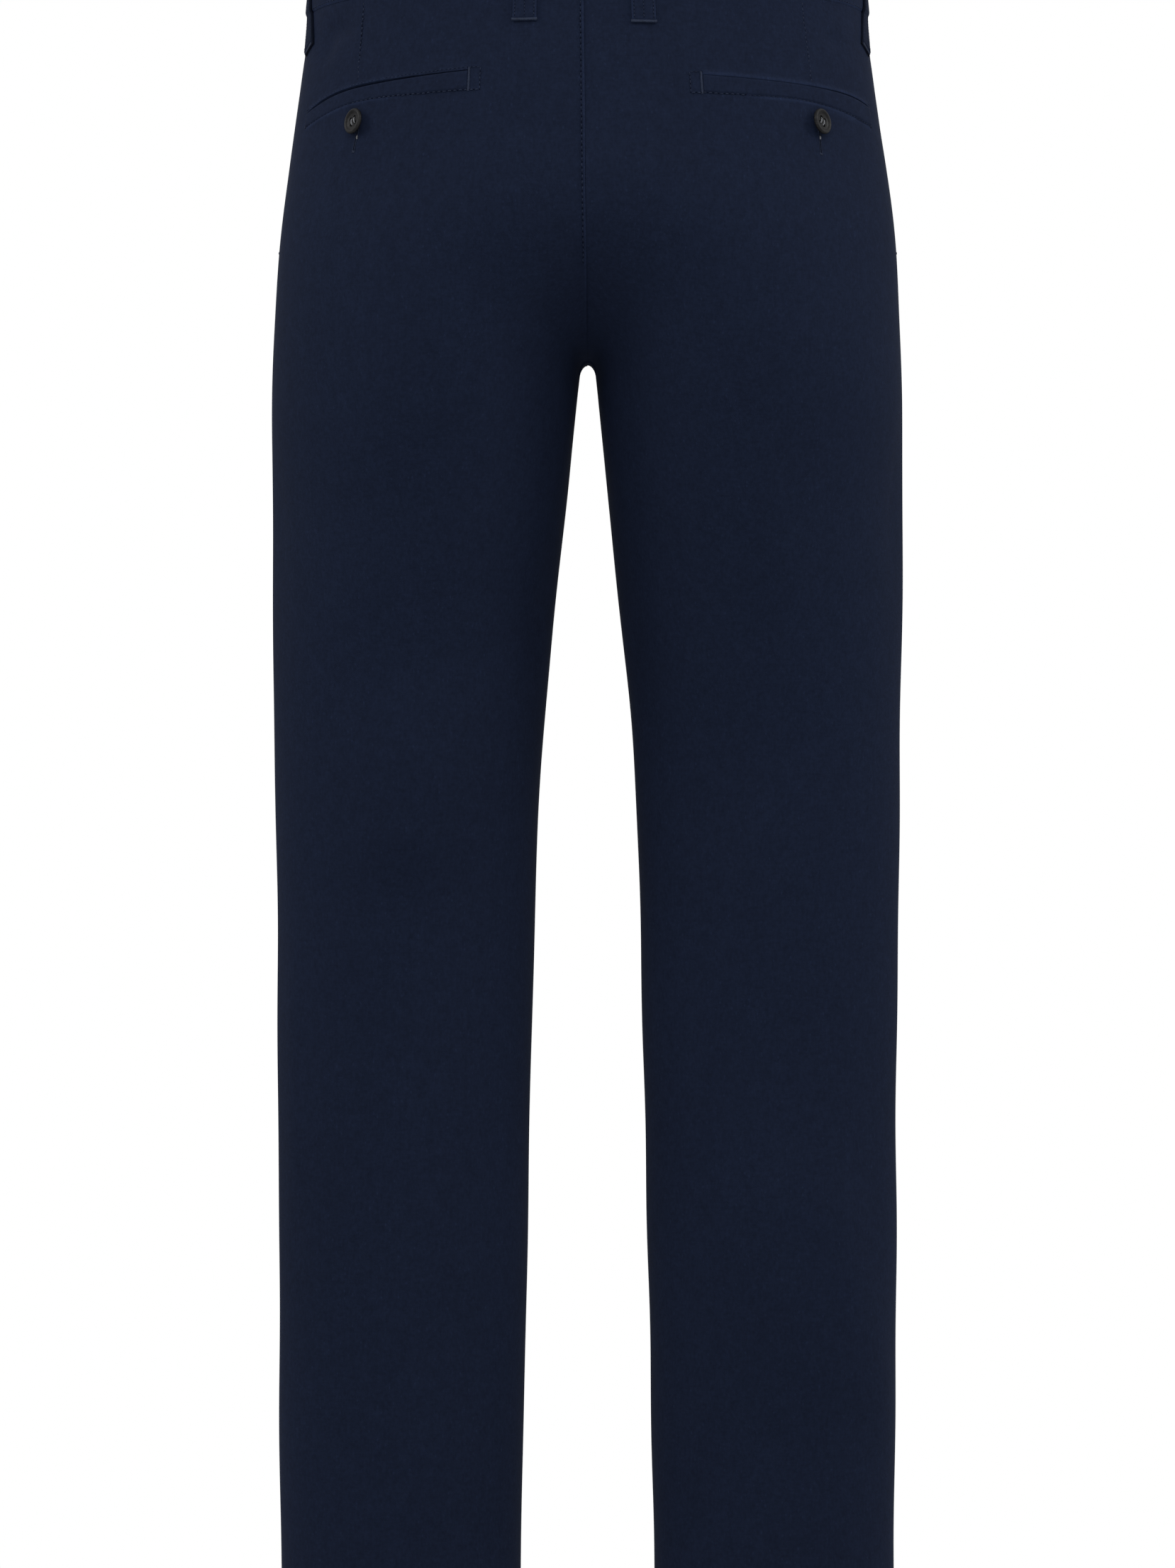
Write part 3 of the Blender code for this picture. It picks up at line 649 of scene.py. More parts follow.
def back_levels():
    """Levels of the backs' rows, close together under the waistband and at the pocket."""
    under_band = WAIST_SEAM - np.array([0.0, 0.5, 0.9, 1.3, 1.7, 2.1, 2.5, 3.0, 3.8])
    over_mouth = WELT_LEVEL + np.array([12.0, 8.0, 5.6, 4.0, 2.9, 2.1, 1.5, 1.0, 0.7, 0.45, 0.3, 0.2, 0.1])
    on_welt = WELT_LEVEL - np.array([2.4, 3.0, 4.5, 6.5, 8.6, 9.6, 10.2, 10.7, 11.2, 11.8])
    upper = [under_band, np.linspace(198.0, 164.0, 13), over_mouth, on_welt, np.linspace(138.0, 112.0, 9)]
    return np.concatenate([*upper, lower_levels(CROTCH_REACH_BACK)])


def centre_relief(side, height, distance):
    """The left back is folded in at the centre seam and topstitched as far down as its row of stitches."""
    if side < 0:
        return -seam_groove(distance, 0.15, 0.5)
    upright = ramp(height, 2, 22)
    topstitched = ramp(height, CENTRE_STITCH_END, CENTRE_STITCH_END + 12)
    fold = 0.25 * ramp(distance, -0.25, 0.35) * ramp(distance, 11, 3) + 0.6 * bump(distance - 0.8, 0.8)
    pulled = 0.35 * bump(distance - CENTRE_STITCH, 0.6) * topstitched
    return (fold - pulled) * upright - seam_groove(distance, 0.2) * (1 - upright)


def pocket_relief(side, along, above, over_bottom):
    """Relief round a back pocket, with its lip and lower ridge painted paler, as rubbed wear and painted
    highlight.

    The cloth above the mouth rolls in, the open pocket lies behind the welt, and the cloth swells where the
    welt's lower edge is sewn down. above and over_bottom are heights above the welt's two edges.
    """
    end, pocket = WELT_LINES[side][-1][0], POCKETS[side]
    half = mouth_width(side, along)
    within = ramp(along, -0.5, 0.5) * ramp(along, end, end - 3)
    lip = pocket["lip"] * bump(above - 1.1, 1.6) * (above > 0)
    mouth = ramp(above, half + 0.25, half) * ramp(above, -3.0, -2.5)
    depth = pocket["depth"] * ramp(along, *pocket["deepening"])
    ridge = 0.4 * bump(over_bottom + 0.9, 1.3) * ramp(along, 30, 70)
    # The lip and the lower ridge are painted paler, partly as rubbed wear and partly as painted highlight
    lip_wear_and_highlight = 0.45 * bump(above - 0.9, 1.2) * (above > 0) * ramp(along, *pocket["lip_wear_and_highlight"])
    ridge_wear_and_highlight = 0.5 * bump(over_bottom + 0.5, 1.3) * ramp(along, *pocket["ridge_wear_and_highlight"])
    return within * (lip * (1 - mouth) - depth * mouth + ridge), within * (lip_wear_and_highlight + ridge_wear_and_highlight)


def dart_place(side, height):
    (top, first), (bottom, second) = DARTS[side]
    return first + (second - first) * (top - height) / (top - bottom)


def dart_relief(side, around, height, top):
    """The dart above the pocket."""
    off = (around - dart_place(side, height)) * DART_SCALE
    return ramp(height, top + 2, top + 8) * (0.35 * bump(off + 2.0, 2.2) - 0.45 * bump(off, 0.9))


def crease_depth(x, level):
    """How far the backs sink towards the front in the crease where the two legs meet."""
    low = min(1.0, max(0.0, (CREASE_TOP - level) / CREASE_TOP))
    slope, slope_width = CREASE_SLOPE
    depth = CREASE_DEPTH * low**2.5 * bump(x, 5.0 + 3.0 * low) + slope * low * bump(x, slope_width)
    return float(depth * ramp(level, CREASE_BOTTOM, CREASE_BOTTOM + CREASE_FADE))


def build_backs():
    levels = back_levels()
    # Close columns at the welts' outer and inner ends. The inner end's share of a row's length is the same on
    # the first row
    share = length_between(WELT_RUN, 0.0, WELT_START_AROUND) / length_between(WELT_RUN, 0.0, 1.0)
    inner_end = share * length_between(run_of(levels[0]), 0.0, 1.0)
    welt_ends = ((30.0, 3.0), (inner_end, 2.5))
    around = columns_between(np.zeros(len(levels)), np.ones(len(levels)), levels, 72, welt_ends)
    along = along_welt(around)
    at_pocket = ramp(levels, WAIST_SEAM, 162) * ramp(levels, 95, 130)
    for side, hand in HANDS:
        top, bottom = welt_edges(side, along)
        height = tilted(around, levels[:, None]) + at_pocket[:, None] * (top - tilted(around, WELT_LEVEL))
        from_side, from_centre = edge_distances(side, around, height)
        out, wear = pocket_relief(side, along, height - top, height - bottom)
        out = out + centre_relief(side, height, from_centre) + dart_relief(side, around, height, top)
        under_band = waist_line(around, BAND_LOW + 0.9) - height
        out = out - seam_groove(from_side) - seam_groove(under_band, 1.0, 1.0)
        if side > 0:
            # The folded centre edge is painted paler, partly as rubbed wear and partly as painted highlight
            wear = wear + 0.32 * bump(from_centre - 0.7, 1.0) * ramp(height, 25, 45)
        points = surface(side, around, height)
        out = out + cloth_relief(side, points) * (1 - 0.8 * ramp(height, 120, 150)) + hem_relief(height)
        for x, level, wide, tall, depth in DENTS:
            out = out - depth * bump(points[..., 0] - x, wide) * bump(height - level, tall)
        back = dress(f"back_{hand}", side, around, height, out, panel_thickness(height), wear)
        for vertex in back.data.vertices:
            level = vertex.co.z / MM + ORIGIN_HEIGHT
            if level < CREASE_TOP and vertex.co.y > -0.02:
                vertex.co.y -= MM * crease_depth(vertex.co.x / MM, level)


# ---- the fronts, their pockets and the fly ----


def slant_edge(height):
    share = (height - SLANT_BOTTOM) / (WAIST_SEAM - SLANT_BOTTOM)
    return 0.0 if share <= 0 else float(around_from(0.0, -SLANT_TOP * share, height))


def right_dip(around, height):
    """How far the right front lies inward near the centre front, to pass behind the fly."""
    near = ramp(np.abs(from_centre_line(around, height)) - FLY_LAP - 1.5, UNDERLAP_EASE, 0)
    return FRONT_DIP * near * ramp(height, FLY_BOTTOM - FLY_CURVE / 2, FLY_BOTTOM)


def fly_line(height):
    """Distance of the fly's J from the centre line."""
    return FLY_WIDTH * quarter_round((height - FLY_BOTTOM) / FLY_CURVE)


def build_fronts():
    """The left front runs on to the centre under the fly, which lies on it."""
    upper = np.linspace(WAIST_SEAM, CROTCH_REACH_FRONT, 40)
    levels = np.append(upper, lower_levels(CROTCH_REACH_FRONT))
    starts = np.array([slant_edge(level) for level in levels])
    around = columns_between(starts, -np.ones(len(levels)), levels, 66)
    height = tilted(around, levels[:, None])
    for side, hand in HANDS:
        from_side, from_centre = edge_distances(side, around, height)
        pocket = ramp(height, SLANT_BOTTOM, SLANT_BOTTOM + 3)
        rolled = 0.3 * ramp(from_side, 0, 1.2) * ramp(from_side, 9, 4)
        rolled = rolled - 0.2 * bump(from_side - SLANT_STITCH, 0.8) - 0.5 * bump(from_side, 0.7)
        out = pocket * rolled - (1 - pocket) * seam_groove(from_side) - seam_groove(from_centre)
        if side < 0:
            out = out - right_dip(around, height)
        else:
            past_fly = np.abs(from_centre_line(around, height)) - fly_line(height)
            out = out - 0.5 * ramp(past_fly, 1, -2) * ramp(height, FLY_BOTTOM, FLY_BOTTOM + 4)
        out = out + relief_at(side, around, height) + hem_relief(height)
        dress(f"front_{hand}", side, around, height, out, panel_thickness(height))


def fly_curve_levels(first, last, number):
    """Levels down the J's curve, from one turn of its quarter round to another."""
    return FLY_BOTTOM + FLY_CURVE * (1 - np.sin(np.linspace(first, last, number)))


def build_fly():
    """The fly placket, whose J edge sinks into the front where it is sewn on."""
    straight = np.arange(WAIST_SEAM, FLY_BOTTOM + FLY_CURVE, -3.0)
    levels = np.append(straight, fly_curve_levels(0, np.pi / 2, 30))
    share = np.concatenate([[0, 0.01, 0.025, 0.045], np.linspace(0.07, 0.93, 24), [0.96, 0.98, 1.0]])
    rows = []
    for level in levels:
        start = around_at_x(max(float(fly_line(level)), 0.4), level, -1)
        rows.append(start + (past_front(FLY_LAP, level) - start) * share)
    around = np.array(rows)
    height = tilted(around, levels[:, None])
    from_line, from_edge = edge_distances(1, around, height)
    out = FLY_RISE * ramp(from_line, -0.2, 1.4) - FLY_SINK - 0.35 * bump(from_edge, 0.7)
    dress("fly", 1, around, height, relief_at(1, around, height) + out, CLOTH_THICKNESS)


def build_facings():
    levels = np.append(np.linspace(WAIST_SEAM, SLANT_BOTTOM, 48), SLANT_BOTTOM - np.array([4.0, 9.0, 14.0]))
    rows, exposed = [], []
    for level in levels:
        edge = slant_edge(level)
        places = np.linspace(0.0, float(around_from(edge, -FACING_UNDER, level)), 44)
        gap = np.linalg.norm(surface(1, places, level) - surface(1, edge, level), axis=-1)
        rows.append(places)
        exposed.append(np.where(places > edge, gap, 0.0))
    around = np.array(rows)
    height = tilted(around, levels[:, None])
    sunk = FACING_DEPTH * ramp(np.array(exposed), FACING_EASE, 0)
    for side, hand in HANDS:
        from_side, _ = edge_distances(side, around, height)
        out = relief_at(side, around, height) - sunk - seam_groove(from_side)
        dress(f"pocket_facing_{hand}", side, around, height, out, CLOTH_THICKNESS)


# ---- the waistband, the belt loops and the welts ----


def band_out(above):
    """The waistband is two layers of cloth with rolled edges, sewn along its lower edge."""
    edge = np.minimum(above + BAND_LOW, BAND_HEIGHT - above)
    return BAND_RISE - 0.9 * bump(edge, 0.6) - 0.22 * bump(edge - BAND_STITCH, 0.8)


def build_waistband():
    upper = [38.0, 37.8, 37.4, 36.8, 36.0, 35.2, 34.0, 31.0, 27.0, 22.0, 17.0, 12.0, 8.0, 4.5, 2.8, 1.9]
    above = np.array([*upper, 1.4, 1.0, 0.6, 0.2, -0.1, -0.4, -0.7, -0.9, -1.1, -1.3])[:, None]
    # The waistband's rolled lower edge and its top are painted paler, partly as rubbed wear and partly as
    # painted highlight
    wear = 0.6 * bump(above + BAND_LOW - 0.8, 1.2) + 0.25 * bump(BAND_HEIGHT - 0.6 - above, 1.2)
    front = float(waist_line(-1.0))
    ends = (np.linspace(1, 0.985, 8), np.linspace(-0.985, -1, 4))
    spread = np.concatenate([ends[0], np.linspace(0.98, -0.98, 150), ends[1]])
    left = np.append(spread, [past_front(share * FLY_LAP, front) for share in (0.5, 0.9, 1.0)])
    right = np.append(spread, [past_front(share * UNDERLAP, front) for share in np.linspace(0, 1, 10)[1:]])
    for (side, hand), places in zip(HANDS, (left, right)):
        height = waist_line(np.maximum(places, -1), above)
        around = np.broadcast_to(places, height.shape)
        from_back, from_front = edge_distances(side, around, height)
        out = band_out(above) - seam_groove(from_back)
        if side > 0:
            out = out - 0.4 * bump(from_front, 0.6)
        else:
            distance = np.abs(from_centre_line(around, height))
            near = np.where(places < -1, 1.0, ramp(distance - FLY_LAP - 3, UNDERLAP_EASE, 0))
            out = out - BAND_DIP * np.where(places < 0, near, 0.0)
        dress(f"waistband_{hand}", side, around, height, out, DOUBLE_CLOTH, wear)


def loop_places(side):
    """The places of a side's loops. The right back loop reaches a little lower than the left one."""
    for name, distance, half, drop, shift, swell in LOOP_PLACES:
        lower = RIGHT_LOOP_DROP if name == "back" and side < 0 else 0.0
        yield name, distance, half, drop + lower, shift, swell


def loop_length(place):
    return LOOP_OVERHANG + BAND_HEIGHT + place[3]


def loop_offset(down):
    """How far a belt loop stands off the cloth, by the distance down from its folded top."""
    rising = np.sin(np.pi / 2 * np.clip(down / LOOP_GAP_PLACE, 0, 1))
    closing = np.clip((down - LOOP_GAP_PLACE) / (LOOP_GAP_END - LOOP_GAP_PLACE), 0, 1)
    falling = 0.5 + 0.5 * np.cos(np.pi * closing)
    return np.where(down < LOOP_GAP_PLACE, rising, falling) * (LOOP_GAP - LAID_GAP) + LAID_GAP


def loop_grid(place, across, down):
    """Places, heights and undersides of a belt loop's points. across and down are in millimetres."""
    _, distance, half, _, shift, swell = place
    length = loop_length(place)
    lean = math.atan2(shift, length)
    if distance is None:
        centre = around_from(0.0, SIDE_LOOP_PLACE, WAIST_SEAM)
    else:
        centre = around_at_x(distance, WAIST_SEAM, half)
    around = around_from(centre, shift * down / length + across / math.cos(lean), WAIST_SEAM)
    height = waist_line(around, BAND_HEIGHT + LOOP_OVERHANG - down) + across * math.sin(lean) * down / length
    above_seam = height - waist_line(around)
    swollen = ramp(np.abs(above_seam), 11, 0)
    return around, height, loop_offset(down) + BAND_RISE * ramp(above_seam, -3, 0) + swell * swollen


def loop_relief(across, down, length):
    """A folded strip: rolled edges, a soft middle ridge, stitches along both edges, a folded end."""
    rolled = -0.5 * bump(np.abs(across) - LOOP_WIDTH / 2, 0.6) - 0.6 * bump(down, 0.8)
    channels = -0.3 * bump(across, 0.7) - 0.25 * bump(np.abs(across) - LOOP_EDGE_STITCH, 0.6)
    pressed = -0.7 * ramp(length - down, LOOP_TACK + 1.0, LOOP_TACK - 0.2)
    return rolled + channels * ramp(length - down, 3, 5) + pressed


def build_loops():
    across = np.array([0.5, 1.0, 1.6, 2.4, 3.4, 4.2, 4.8, 5.2, 5.6, 6.0, 6.3, 6.55, 6.75])
    across = np.concatenate([-across[::-1], [0.0], across])
    near_end = np.array([7.3, 6.6, 5.8, 5.0, 4.4, 3.9, 3.4, 2.9, 2.4, 1.8, 1.2, 0.7, 0.3, 0.0])
    edge = np.abs(across) - LOOP_WIDTH / 2
    for pair in zip(loop_places(1), loop_places(-1)):
        for (side, hand), place in zip(HANDS, pair):
            length = loop_length(place)
            middle = np.linspace(2.5, length - 8, 44)
            down = np.concatenate([[0, 0.4, 0.9, 1.6], middle, length - near_end])[:, None]
            around, height, under = loop_grid(place, across, down)
            out = LOOP_THICKNESS + under + loop_relief(across, down, length)
            # The loops' rolled edges are painted paler, partly as rubbed wear and partly as painted highlight
            wear = 0.28 * bump(edge + 0.5, 0.9)
            if place[0] == "side":
                # The side loops are painted darker, most of all along their sides and at their feet: painted
                # shade for the gap between each loop and the cloth
                wear = -0.18 - 0.4 * bump(edge, 0.9) - 0.3 * bump(down - length, 1.2)
            dress(f"belt_loop_{place[0]}_{hand}", side, around, height, out, out - under + 0.15, wear)


def build_welts():
    upper = [0, 0.012, 0.03, 0.06, 0.1, 0.15, 0.25, 0.4, 0.55, 0.7]
    share = np.array([*upper, 0.8, 0.86, 0.9, 0.94, 0.97, 1, 1.03])[:, None]
    # Each welt rises from its folded top edge and sinks in again at its sewn bottom edge
    rise = 0.85 - 0.5 * bump(share, 0.05) - 0.75 * ramp(share, 0.86, 0.98)
    for side, hand in HANDS:
        end = WELT_LINES[side][-1][0]
        outer = end + np.array([-1.5, -0.8, -0.4, -0.1, 0.2, 0.5])
        along = np.concatenate([[-0.5, -0.2, 0.1, 0.4, 0.8, 1.5], np.linspace(3, end - 3, 90), outer])
        top, bottom = welt_edges(side, along)
        height = top - mouth_width(side, along) + (bottom - top) * share
        around = np.broadcast_to(from_along(along), height.shape)
        ends = ramp(along, -0.4, 0.5) * ramp(along, end + 0.4, end - 0.5)
        dress(f"pocket_welt_{hand}", side, around, height, -0.35 + (rise + 0.35) * ends, 1.0)


# ---- sewing ----

ROD_STEPS = np.array([-0.5, -0.42, -0.2, 0.2, 0.42, 0.5])  # rings of a rod, as shares of its length
ROD_GIRTH = np.array([0.3, 0.8, 1.0, 1.0, 0.8, 0.3])
STITCH_LIFT = 0.16  # above the path
STITCH_ARCH = 0.22
HOLE_SHADE_LENGTH = 0.9
TACK_LIFT = 0.22
TACK_ARCH = 0.3


class Sewing:
    """Stitches of one region, gathered into a single mesh in four paints."""

    def __init__(self, name, seed):
        self.name, self.random = name, np.random.default_rng(seed)
        self.points, self.faces, self.paints, self.count = [], [], [], 0

    def rods(self, centres, along, out, length, radius, arch, paint, sides=6):
        """Short bent rods, one for each centre, along unit directions, arched out of the cloth."""
        centres, along, out = (np.atleast_2d(values)[:, None, None] for values in (centres, along, out))
        across = unit(np.cross(along, out))
        out = unit(np.cross(across, along))
        sizes = (np.broadcast_to(size, len(centres))[:, None, None, None] for size in (length, radius))
        length, radius = sizes
        steps, girth = ROD_STEPS[:, None, None], ROD_GIRTH[:, None, None] * radius
        turns = 2 * np.pi * np.arange(sides)[:, None] / sides
        place = centres + along * steps * length + across * girth * np.cos(turns)
        place = place + out * (girth * np.sin(turns) - arch * (2 * steps) ** 2)
        self.points.append(place.reshape(-1, 3))
        for _ in range(len(centres)):
            faces = tube_faces(len(ROD_STEPS), sides, self.count)
            self.faces += faces
            self.paints += [paint] * len(faces)
            self.count += len(ROD_STEPS) * sides

    def row(self, path, out, pitch=2.9, length=2.1, radius=0.21, hole=0.2, wobble=0.12, stray=0.05):
        """A row of lockstitches along a path of points with outward directions.

        The argument after radius is the radius of the dark rod between two stitches, painted shade for the
        needle hole's hollow. Stitches wander by wobble along and stray across.
        """
        run = np.append(0, np.cumsum(np.linalg.norm(np.diff(path, axis=0), axis=1)))
        number = int(run[-1] / pitch)
        gap = run[-1] / number

        def at(where, values):
            return np.stack([np.interp(where, run, column) for column in values.T], axis=1)

        def seat(where):
            return at(where, path), unit(at(where, out)), unit(at(where + 0.5, path) - at(where - 0.5, path))

        places = (np.arange(number) + 0.5) * gap + self.random.uniform(-wobble, wobble, number)
        centre, facing, direction = seat(places)
        across = unit(np.cross(direction, facing))
        direction = unit(direction + across * self.random.uniform(-0.15, 0.15, (number, 1)))
        centre = centre + across * self.random.uniform(-stray, stray, (number, 1))
        girth = radius * self.random.uniform(0.8, 1.15, number)
        self.rods(centre + facing * STITCH_LIFT, direction, facing, length, girth, STITCH_ARCH, THREAD)
        if hole:
            centre, facing, direction = seat(places + gap / 2)
            lift = 0.14 - hole * 0.4
            self.rods(centre + facing * lift, direction, facing, HOLE_SHADE_LENGTH, hole, 0.0, HOLE_SHADE)

    def tack(self, start, end, out, width, spacing=0.5, radius=0.24, paint=TACK_THREAD_HIGHLIGHT):
        """A bartack: close stitches across the line from start to end, by default in thread painted paler as
        a highlight.
        """
        number = max(2, int(np.linalg.norm(end - start) / spacing))
        share = (np.arange(number) + 0.5)[:, None] / number
        direction = unit(end - start)
        across = unit(np.cross(direction, out))
        slanted = unit(across + direction * self.random.uniform(-0.12, 0.22, (number, 1)))
        reach = width * self.random.uniform(0.94, 1.06, number)
        centres = start + (end - start) * share + out * TACK_LIFT
        self.rods(centres, slanted, out, reach, radius, TACK_ARCH, paint)

    def finish(self):
        made = mesh_object(self.name, to_world(np.concatenate(self.points)), self.faces, SEWING_PAINTS)
        made.data.polygons.foreach_set("material_index", self.paints)
        return made


def path_on(side, around, height, out, follow=0.0):
    """Points a distance out from the surface, and the outward directions there.

    follow is the share of the cloth's folds and swells that the path goes along with.
    """
    out = out + follow * relief_at(side, around, height)
    around, height, out = np.broadcast_arrays(around, height, out)
    facing = normals(side, around, height)
    return surface(side, around, height) + facing * out[..., None], facing


CENTRE_STITCHES = {"pitch": 3.3, "length": 1.5, "radius": 0.22, "hole": 0.34, "stray": 0.22}
DART_STITCHES = {"pitch": 2.8, "length": 1.3, "radius": 0.38, "hole": 0.28, "wobble": 0.4, "stray": 0.45}
DART_STITCH_END = {1: 156.0, -1: 153.5}
POCKET_TOP_STITCHES = {"pitch": 2.5, "length": 1.2, "radius": 0.16, "stray": 0.15}
POCKET_HEAVY_STITCHES = {"pitch": 3.1, "length": 1.6, "radius": 0.33, "hole": 0.26, "stray": 0.2}
POCKET_LIGHT_STITCHES = {"pitch": 2.9, "length": 1.2, "radius": 0.17, "hole": 0.09, "stray": 0.12}
POCKET_END_STITCHES = {"pitch": 2.3, "length": 1.6, "radius": 0.2}
POCKET_TACK = {"width": 1.35, "spacing": 0.27, "radius": 0.25}
OUTER_TACK = {"width": 1.3, "spacing": 0.5, "radius": 0.2, "paint": THREAD}
HEM_STITCHES = {"pitch": 3.2, "length": 2.4}
BUTTONHOLE_WIDTH = 1.9
# Of most loops and of the side loops, which are sewn finer: a row's radius, the radius of its dark
# needle-hole
#    rods (painted shade) and its rise, the tacks' reach past the loop's edges, and the rise of the tack at
#    its foot
LOOP_SEWING = (0.19, 0.16, 0.05, 0.3, -0.4)
SIDE_LOOP_SEWING = (0.12, 0.0, -0.05, -1.3, -0.7)


def sew_buttonhole(work, side, around, height, out):
    """Purl stitches on both sides of a slit, with a bartack at its far end."""
    path, facing = path_on(side, np.linspace(*around, 24), np.linspace(*height, 24), out)
    run, up = unit(path[-1] - path[0]), facing[12]
    across = unit(np.cross(run, up)) * BUTTONHOLE_WIDTH * 0.27
    for off in (-across, across):
        work.tack(path[0] + off, path[-1] + off, up, BUTTONHOLE_WIDTH * 0.42, 0.38, 0.2, THREAD)
    # Dark rods along the slit: painted shade for its opening
    inner = slice(2, -2, 2)
    work.rods(path[inner] + facing[inner] * 0.25, run, facing[inner], 2.0, 0.2, 0.0, HOLE_SHADE)
    last = path[-1] - run * 0.2
    work.tack(last - run * 0.7, last + run * 0.5, up, BUTTONHOLE_WIDTH * 1.2, 0.3, 0.22)


def sew_pocket(work, side):
    end, pocket = WELT_LINES[side][-1][0], POCKETS[side]
    along = np.linspace(POCKET_STITCH_END, end, 120)
    around = from_along(along)
    top, bottom = welt_edges(side, along)
    work.row(*path_on(side, around, top + 1.7, 0.34), hole=pocket["hole"], **POCKET_TOP_STITCHES)
    path, facing = path_on(side, around, bottom + 0.1, 0.30)
    heavy = pocket["heavy"]
    work.row(path[:heavy], facing[:heavy], **POCKET_HEAVY_STITCHES)
    work.row(path[heavy:], facing[heavy:], **POCKET_LIGHT_STITCHES)
    height = np.linspace(top[0] + 1.9, bottom[0] + 0.1, 12)
    work.row(*path_on(side, around[0], height, 0.10), **POCKET_END_STITCHES)
    height = np.linspace(top[0] + 1.7, bottom[0] - 0.6, 12)
    path, facing = path_on(side, from_along(-0.75), height, 0.2)
    work.tack(path[0], path[-1], facing[5], **POCKET_TACK)
    path, facing = path_on(side, from_along(end + 0.6), np.linspace(top[-1] + 0.6, bottom[-1], 3), 0.1)
    work.tack(path[0], path[-1], facing[1], **OUTER_TACK)


def sew_back(side, hand):
    work = Sewing(f"sewing_back_{hand}", 20 + side)
    if side > 0:
        levels = np.linspace(206.0, CENTRE_STITCH_END, 80)
        around = np.array([around_from(1.0, -CENTRE_STITCH, level) for level in levels])
        work.row(*path_on(side, around, tilted(around, levels), 0.30, 0.3), **CENTRE_STITCHES)
    height = np.linspace(201.0, DART_STITCH_END[side], 30)
    work.row(*path_on(side, dart_place(side, height), height, -0.10), **DART_STITCHES)
    sew_pocket(work, side)
    distance, level = POCKET_BUTTON_PLACE
    start, end = (around_at_x(distance - inward, level, 1) for inward in BUTTONHOLES[side])
    lift = 0.12 + float(relief_at(side, start, 118.0))
    sew_buttonhole(work, side, (start, end), (level - 4.0, BUTTONHOLE_FOOT[side]), lift)
    # One pale stitch of the buttonhole below the button: a painted highlight for the glint there
    path, facing = path_on(side, start, np.array([level - 8.6, level - 10.6]), lift + 0.3)
    work.rods(path[0], unit(path[0] - path[1]), facing[0], 2.4, 0.5, 0.3, PALE_THREAD_GLINT)
    return work


def sew_front(side, hand):
    work = Sewing(f"sewing_front_{hand}", 40 + side)
    levels = np.linspace(WAIST_SEAM - 1.5, SLANT_BOTTOM + 1.0, 90)
    around = np.array([around_from(slant_edge(level), -SLANT_STITCH, level) for level in levels])
    work.row(*path_on(side, around, tilted(around, levels), 0.14, 1.0))
    for level in (SLANT_BOTTOM + 2.0, WAIST_SEAM - 3.0):
        places = around_from(slant_edge(level), np.array([1.2, -SLANT_STITCH - 0.5]), level)
        path, facing = path_on(side, places, tilted(places, level), 0.3, 1.0)
        work.tack(path[0], path[1], facing[0], 1.8)
    return work


def sew_fly():
    work = Sewing("sewing_fly", 60)
    straight = np.linspace(WAIST_SEAM - 1.5, FLY_BOTTOM + FLY_CURVE, 50)
    levels = np.append(straight, fly_curve_levels(0.02, 1.42, 50))
    widths = fly_line(levels)
    for inset in FLY_STITCHES:
        distances = np.maximum(widths - inset * np.minimum(1.0, widths / 22), 1.0)
        around = np.array([around_at_x(*place, -1) for place in zip(distances, levels)])
        work.row(*path_on(1, around, tilted(around, levels), 0.24, 1.0))
    level = FLY_BOTTOM + 3.0
    places = np.array([around_at_x(distance, level, -1) for distance in (1.5, 14.0)])
    height = np.array([level - 1.5, level + 4.0])
    path, facing = path_on(1, places, height, 0.4 + relief_at(1, places, level))
    work.tack(path[0], path[1], facing[0], 2.0)
    return work


def sew_band(side, hand):
    work = Sewing(f"sewing_waistband_{hand}", 70 + side)
    lift = BAND_RISE - 0.2
    spread = np.linspace(0.996, -0.9995 if side > 0 else -0.972, 400)
    for above in (BAND_STITCH - BAND_LOW, BAND_HEIGHT - 2.0):
        work.row(*path_on(side, spread, waist_line(spread, above), lift))
    if side > 0:
        front = float(waist_line(-1.0))
        rows = front + np.linspace(BAND_STITCH, BAND_HEIGHT - BAND_STITCH, 20)
        work.row(*path_on(1, past_front(FLY_LAP - 1.8, front), rows, lift))
        middle = front + BAND_HEIGHT / 2
        slit = [around_at_x(distance, middle, -1) for distance in (WAIST_BUTTON_PLACE + 4.0, 0.5)]
        sew_buttonhole(work, 1, slit, (middle, middle), BAND_RISE)
    return work


def sew_loops(side, hand):
    work = Sewing(f"sewing_loops_{hand}", 80 + side)
    for place in loop_places(side):
        radius, hole, rise, over, foot = SIDE_LOOP_SEWING if place[0] == "side" else LOOP_SEWING
        length = loop_length(place)
        down = np.linspace(1.5, length - 3.0, 60)
        for across in (-LOOP_EDGE_STITCH, 0.0, LOOP_EDGE_STITCH):
            around, height, under = loop_grid(place, across, down)
            out = under + LOOP_THICKNESS + loop_relief(across, down, length) + rise
            path, facing = path_on(side, around, height, out)
            work.row(path, facing, pitch=2.2, length=1.4, radius=radius, hole=hole)
        ends = np.array([-1.0, 1.0]) * (LOOP_WIDTH / 2 + over)
        for centre, wide, lift in ((length - LOOP_TACK, 1.8, foot), (3.0, 2.0, 0.0)):
            around, height, under = loop_grid(place, ends, centre)
            path, facing = path_on(side, around, height, under + LOOP_THICKNESS + lift)
            work.tack(path[0], path[1], unit(facing[0] + facing[1]), wide, 0.33, 0.3)
    return work


def sew_hem(side, hand):
    work = Sewing(f"sewing_hem_{hand}", 90 + side)
    work.row(*path_on(side, np.linspace(-0.995, 0.995, 300), HEM_TOP - 2.2, 0.3, 1.0), **HEM_STITCHES)
    return work


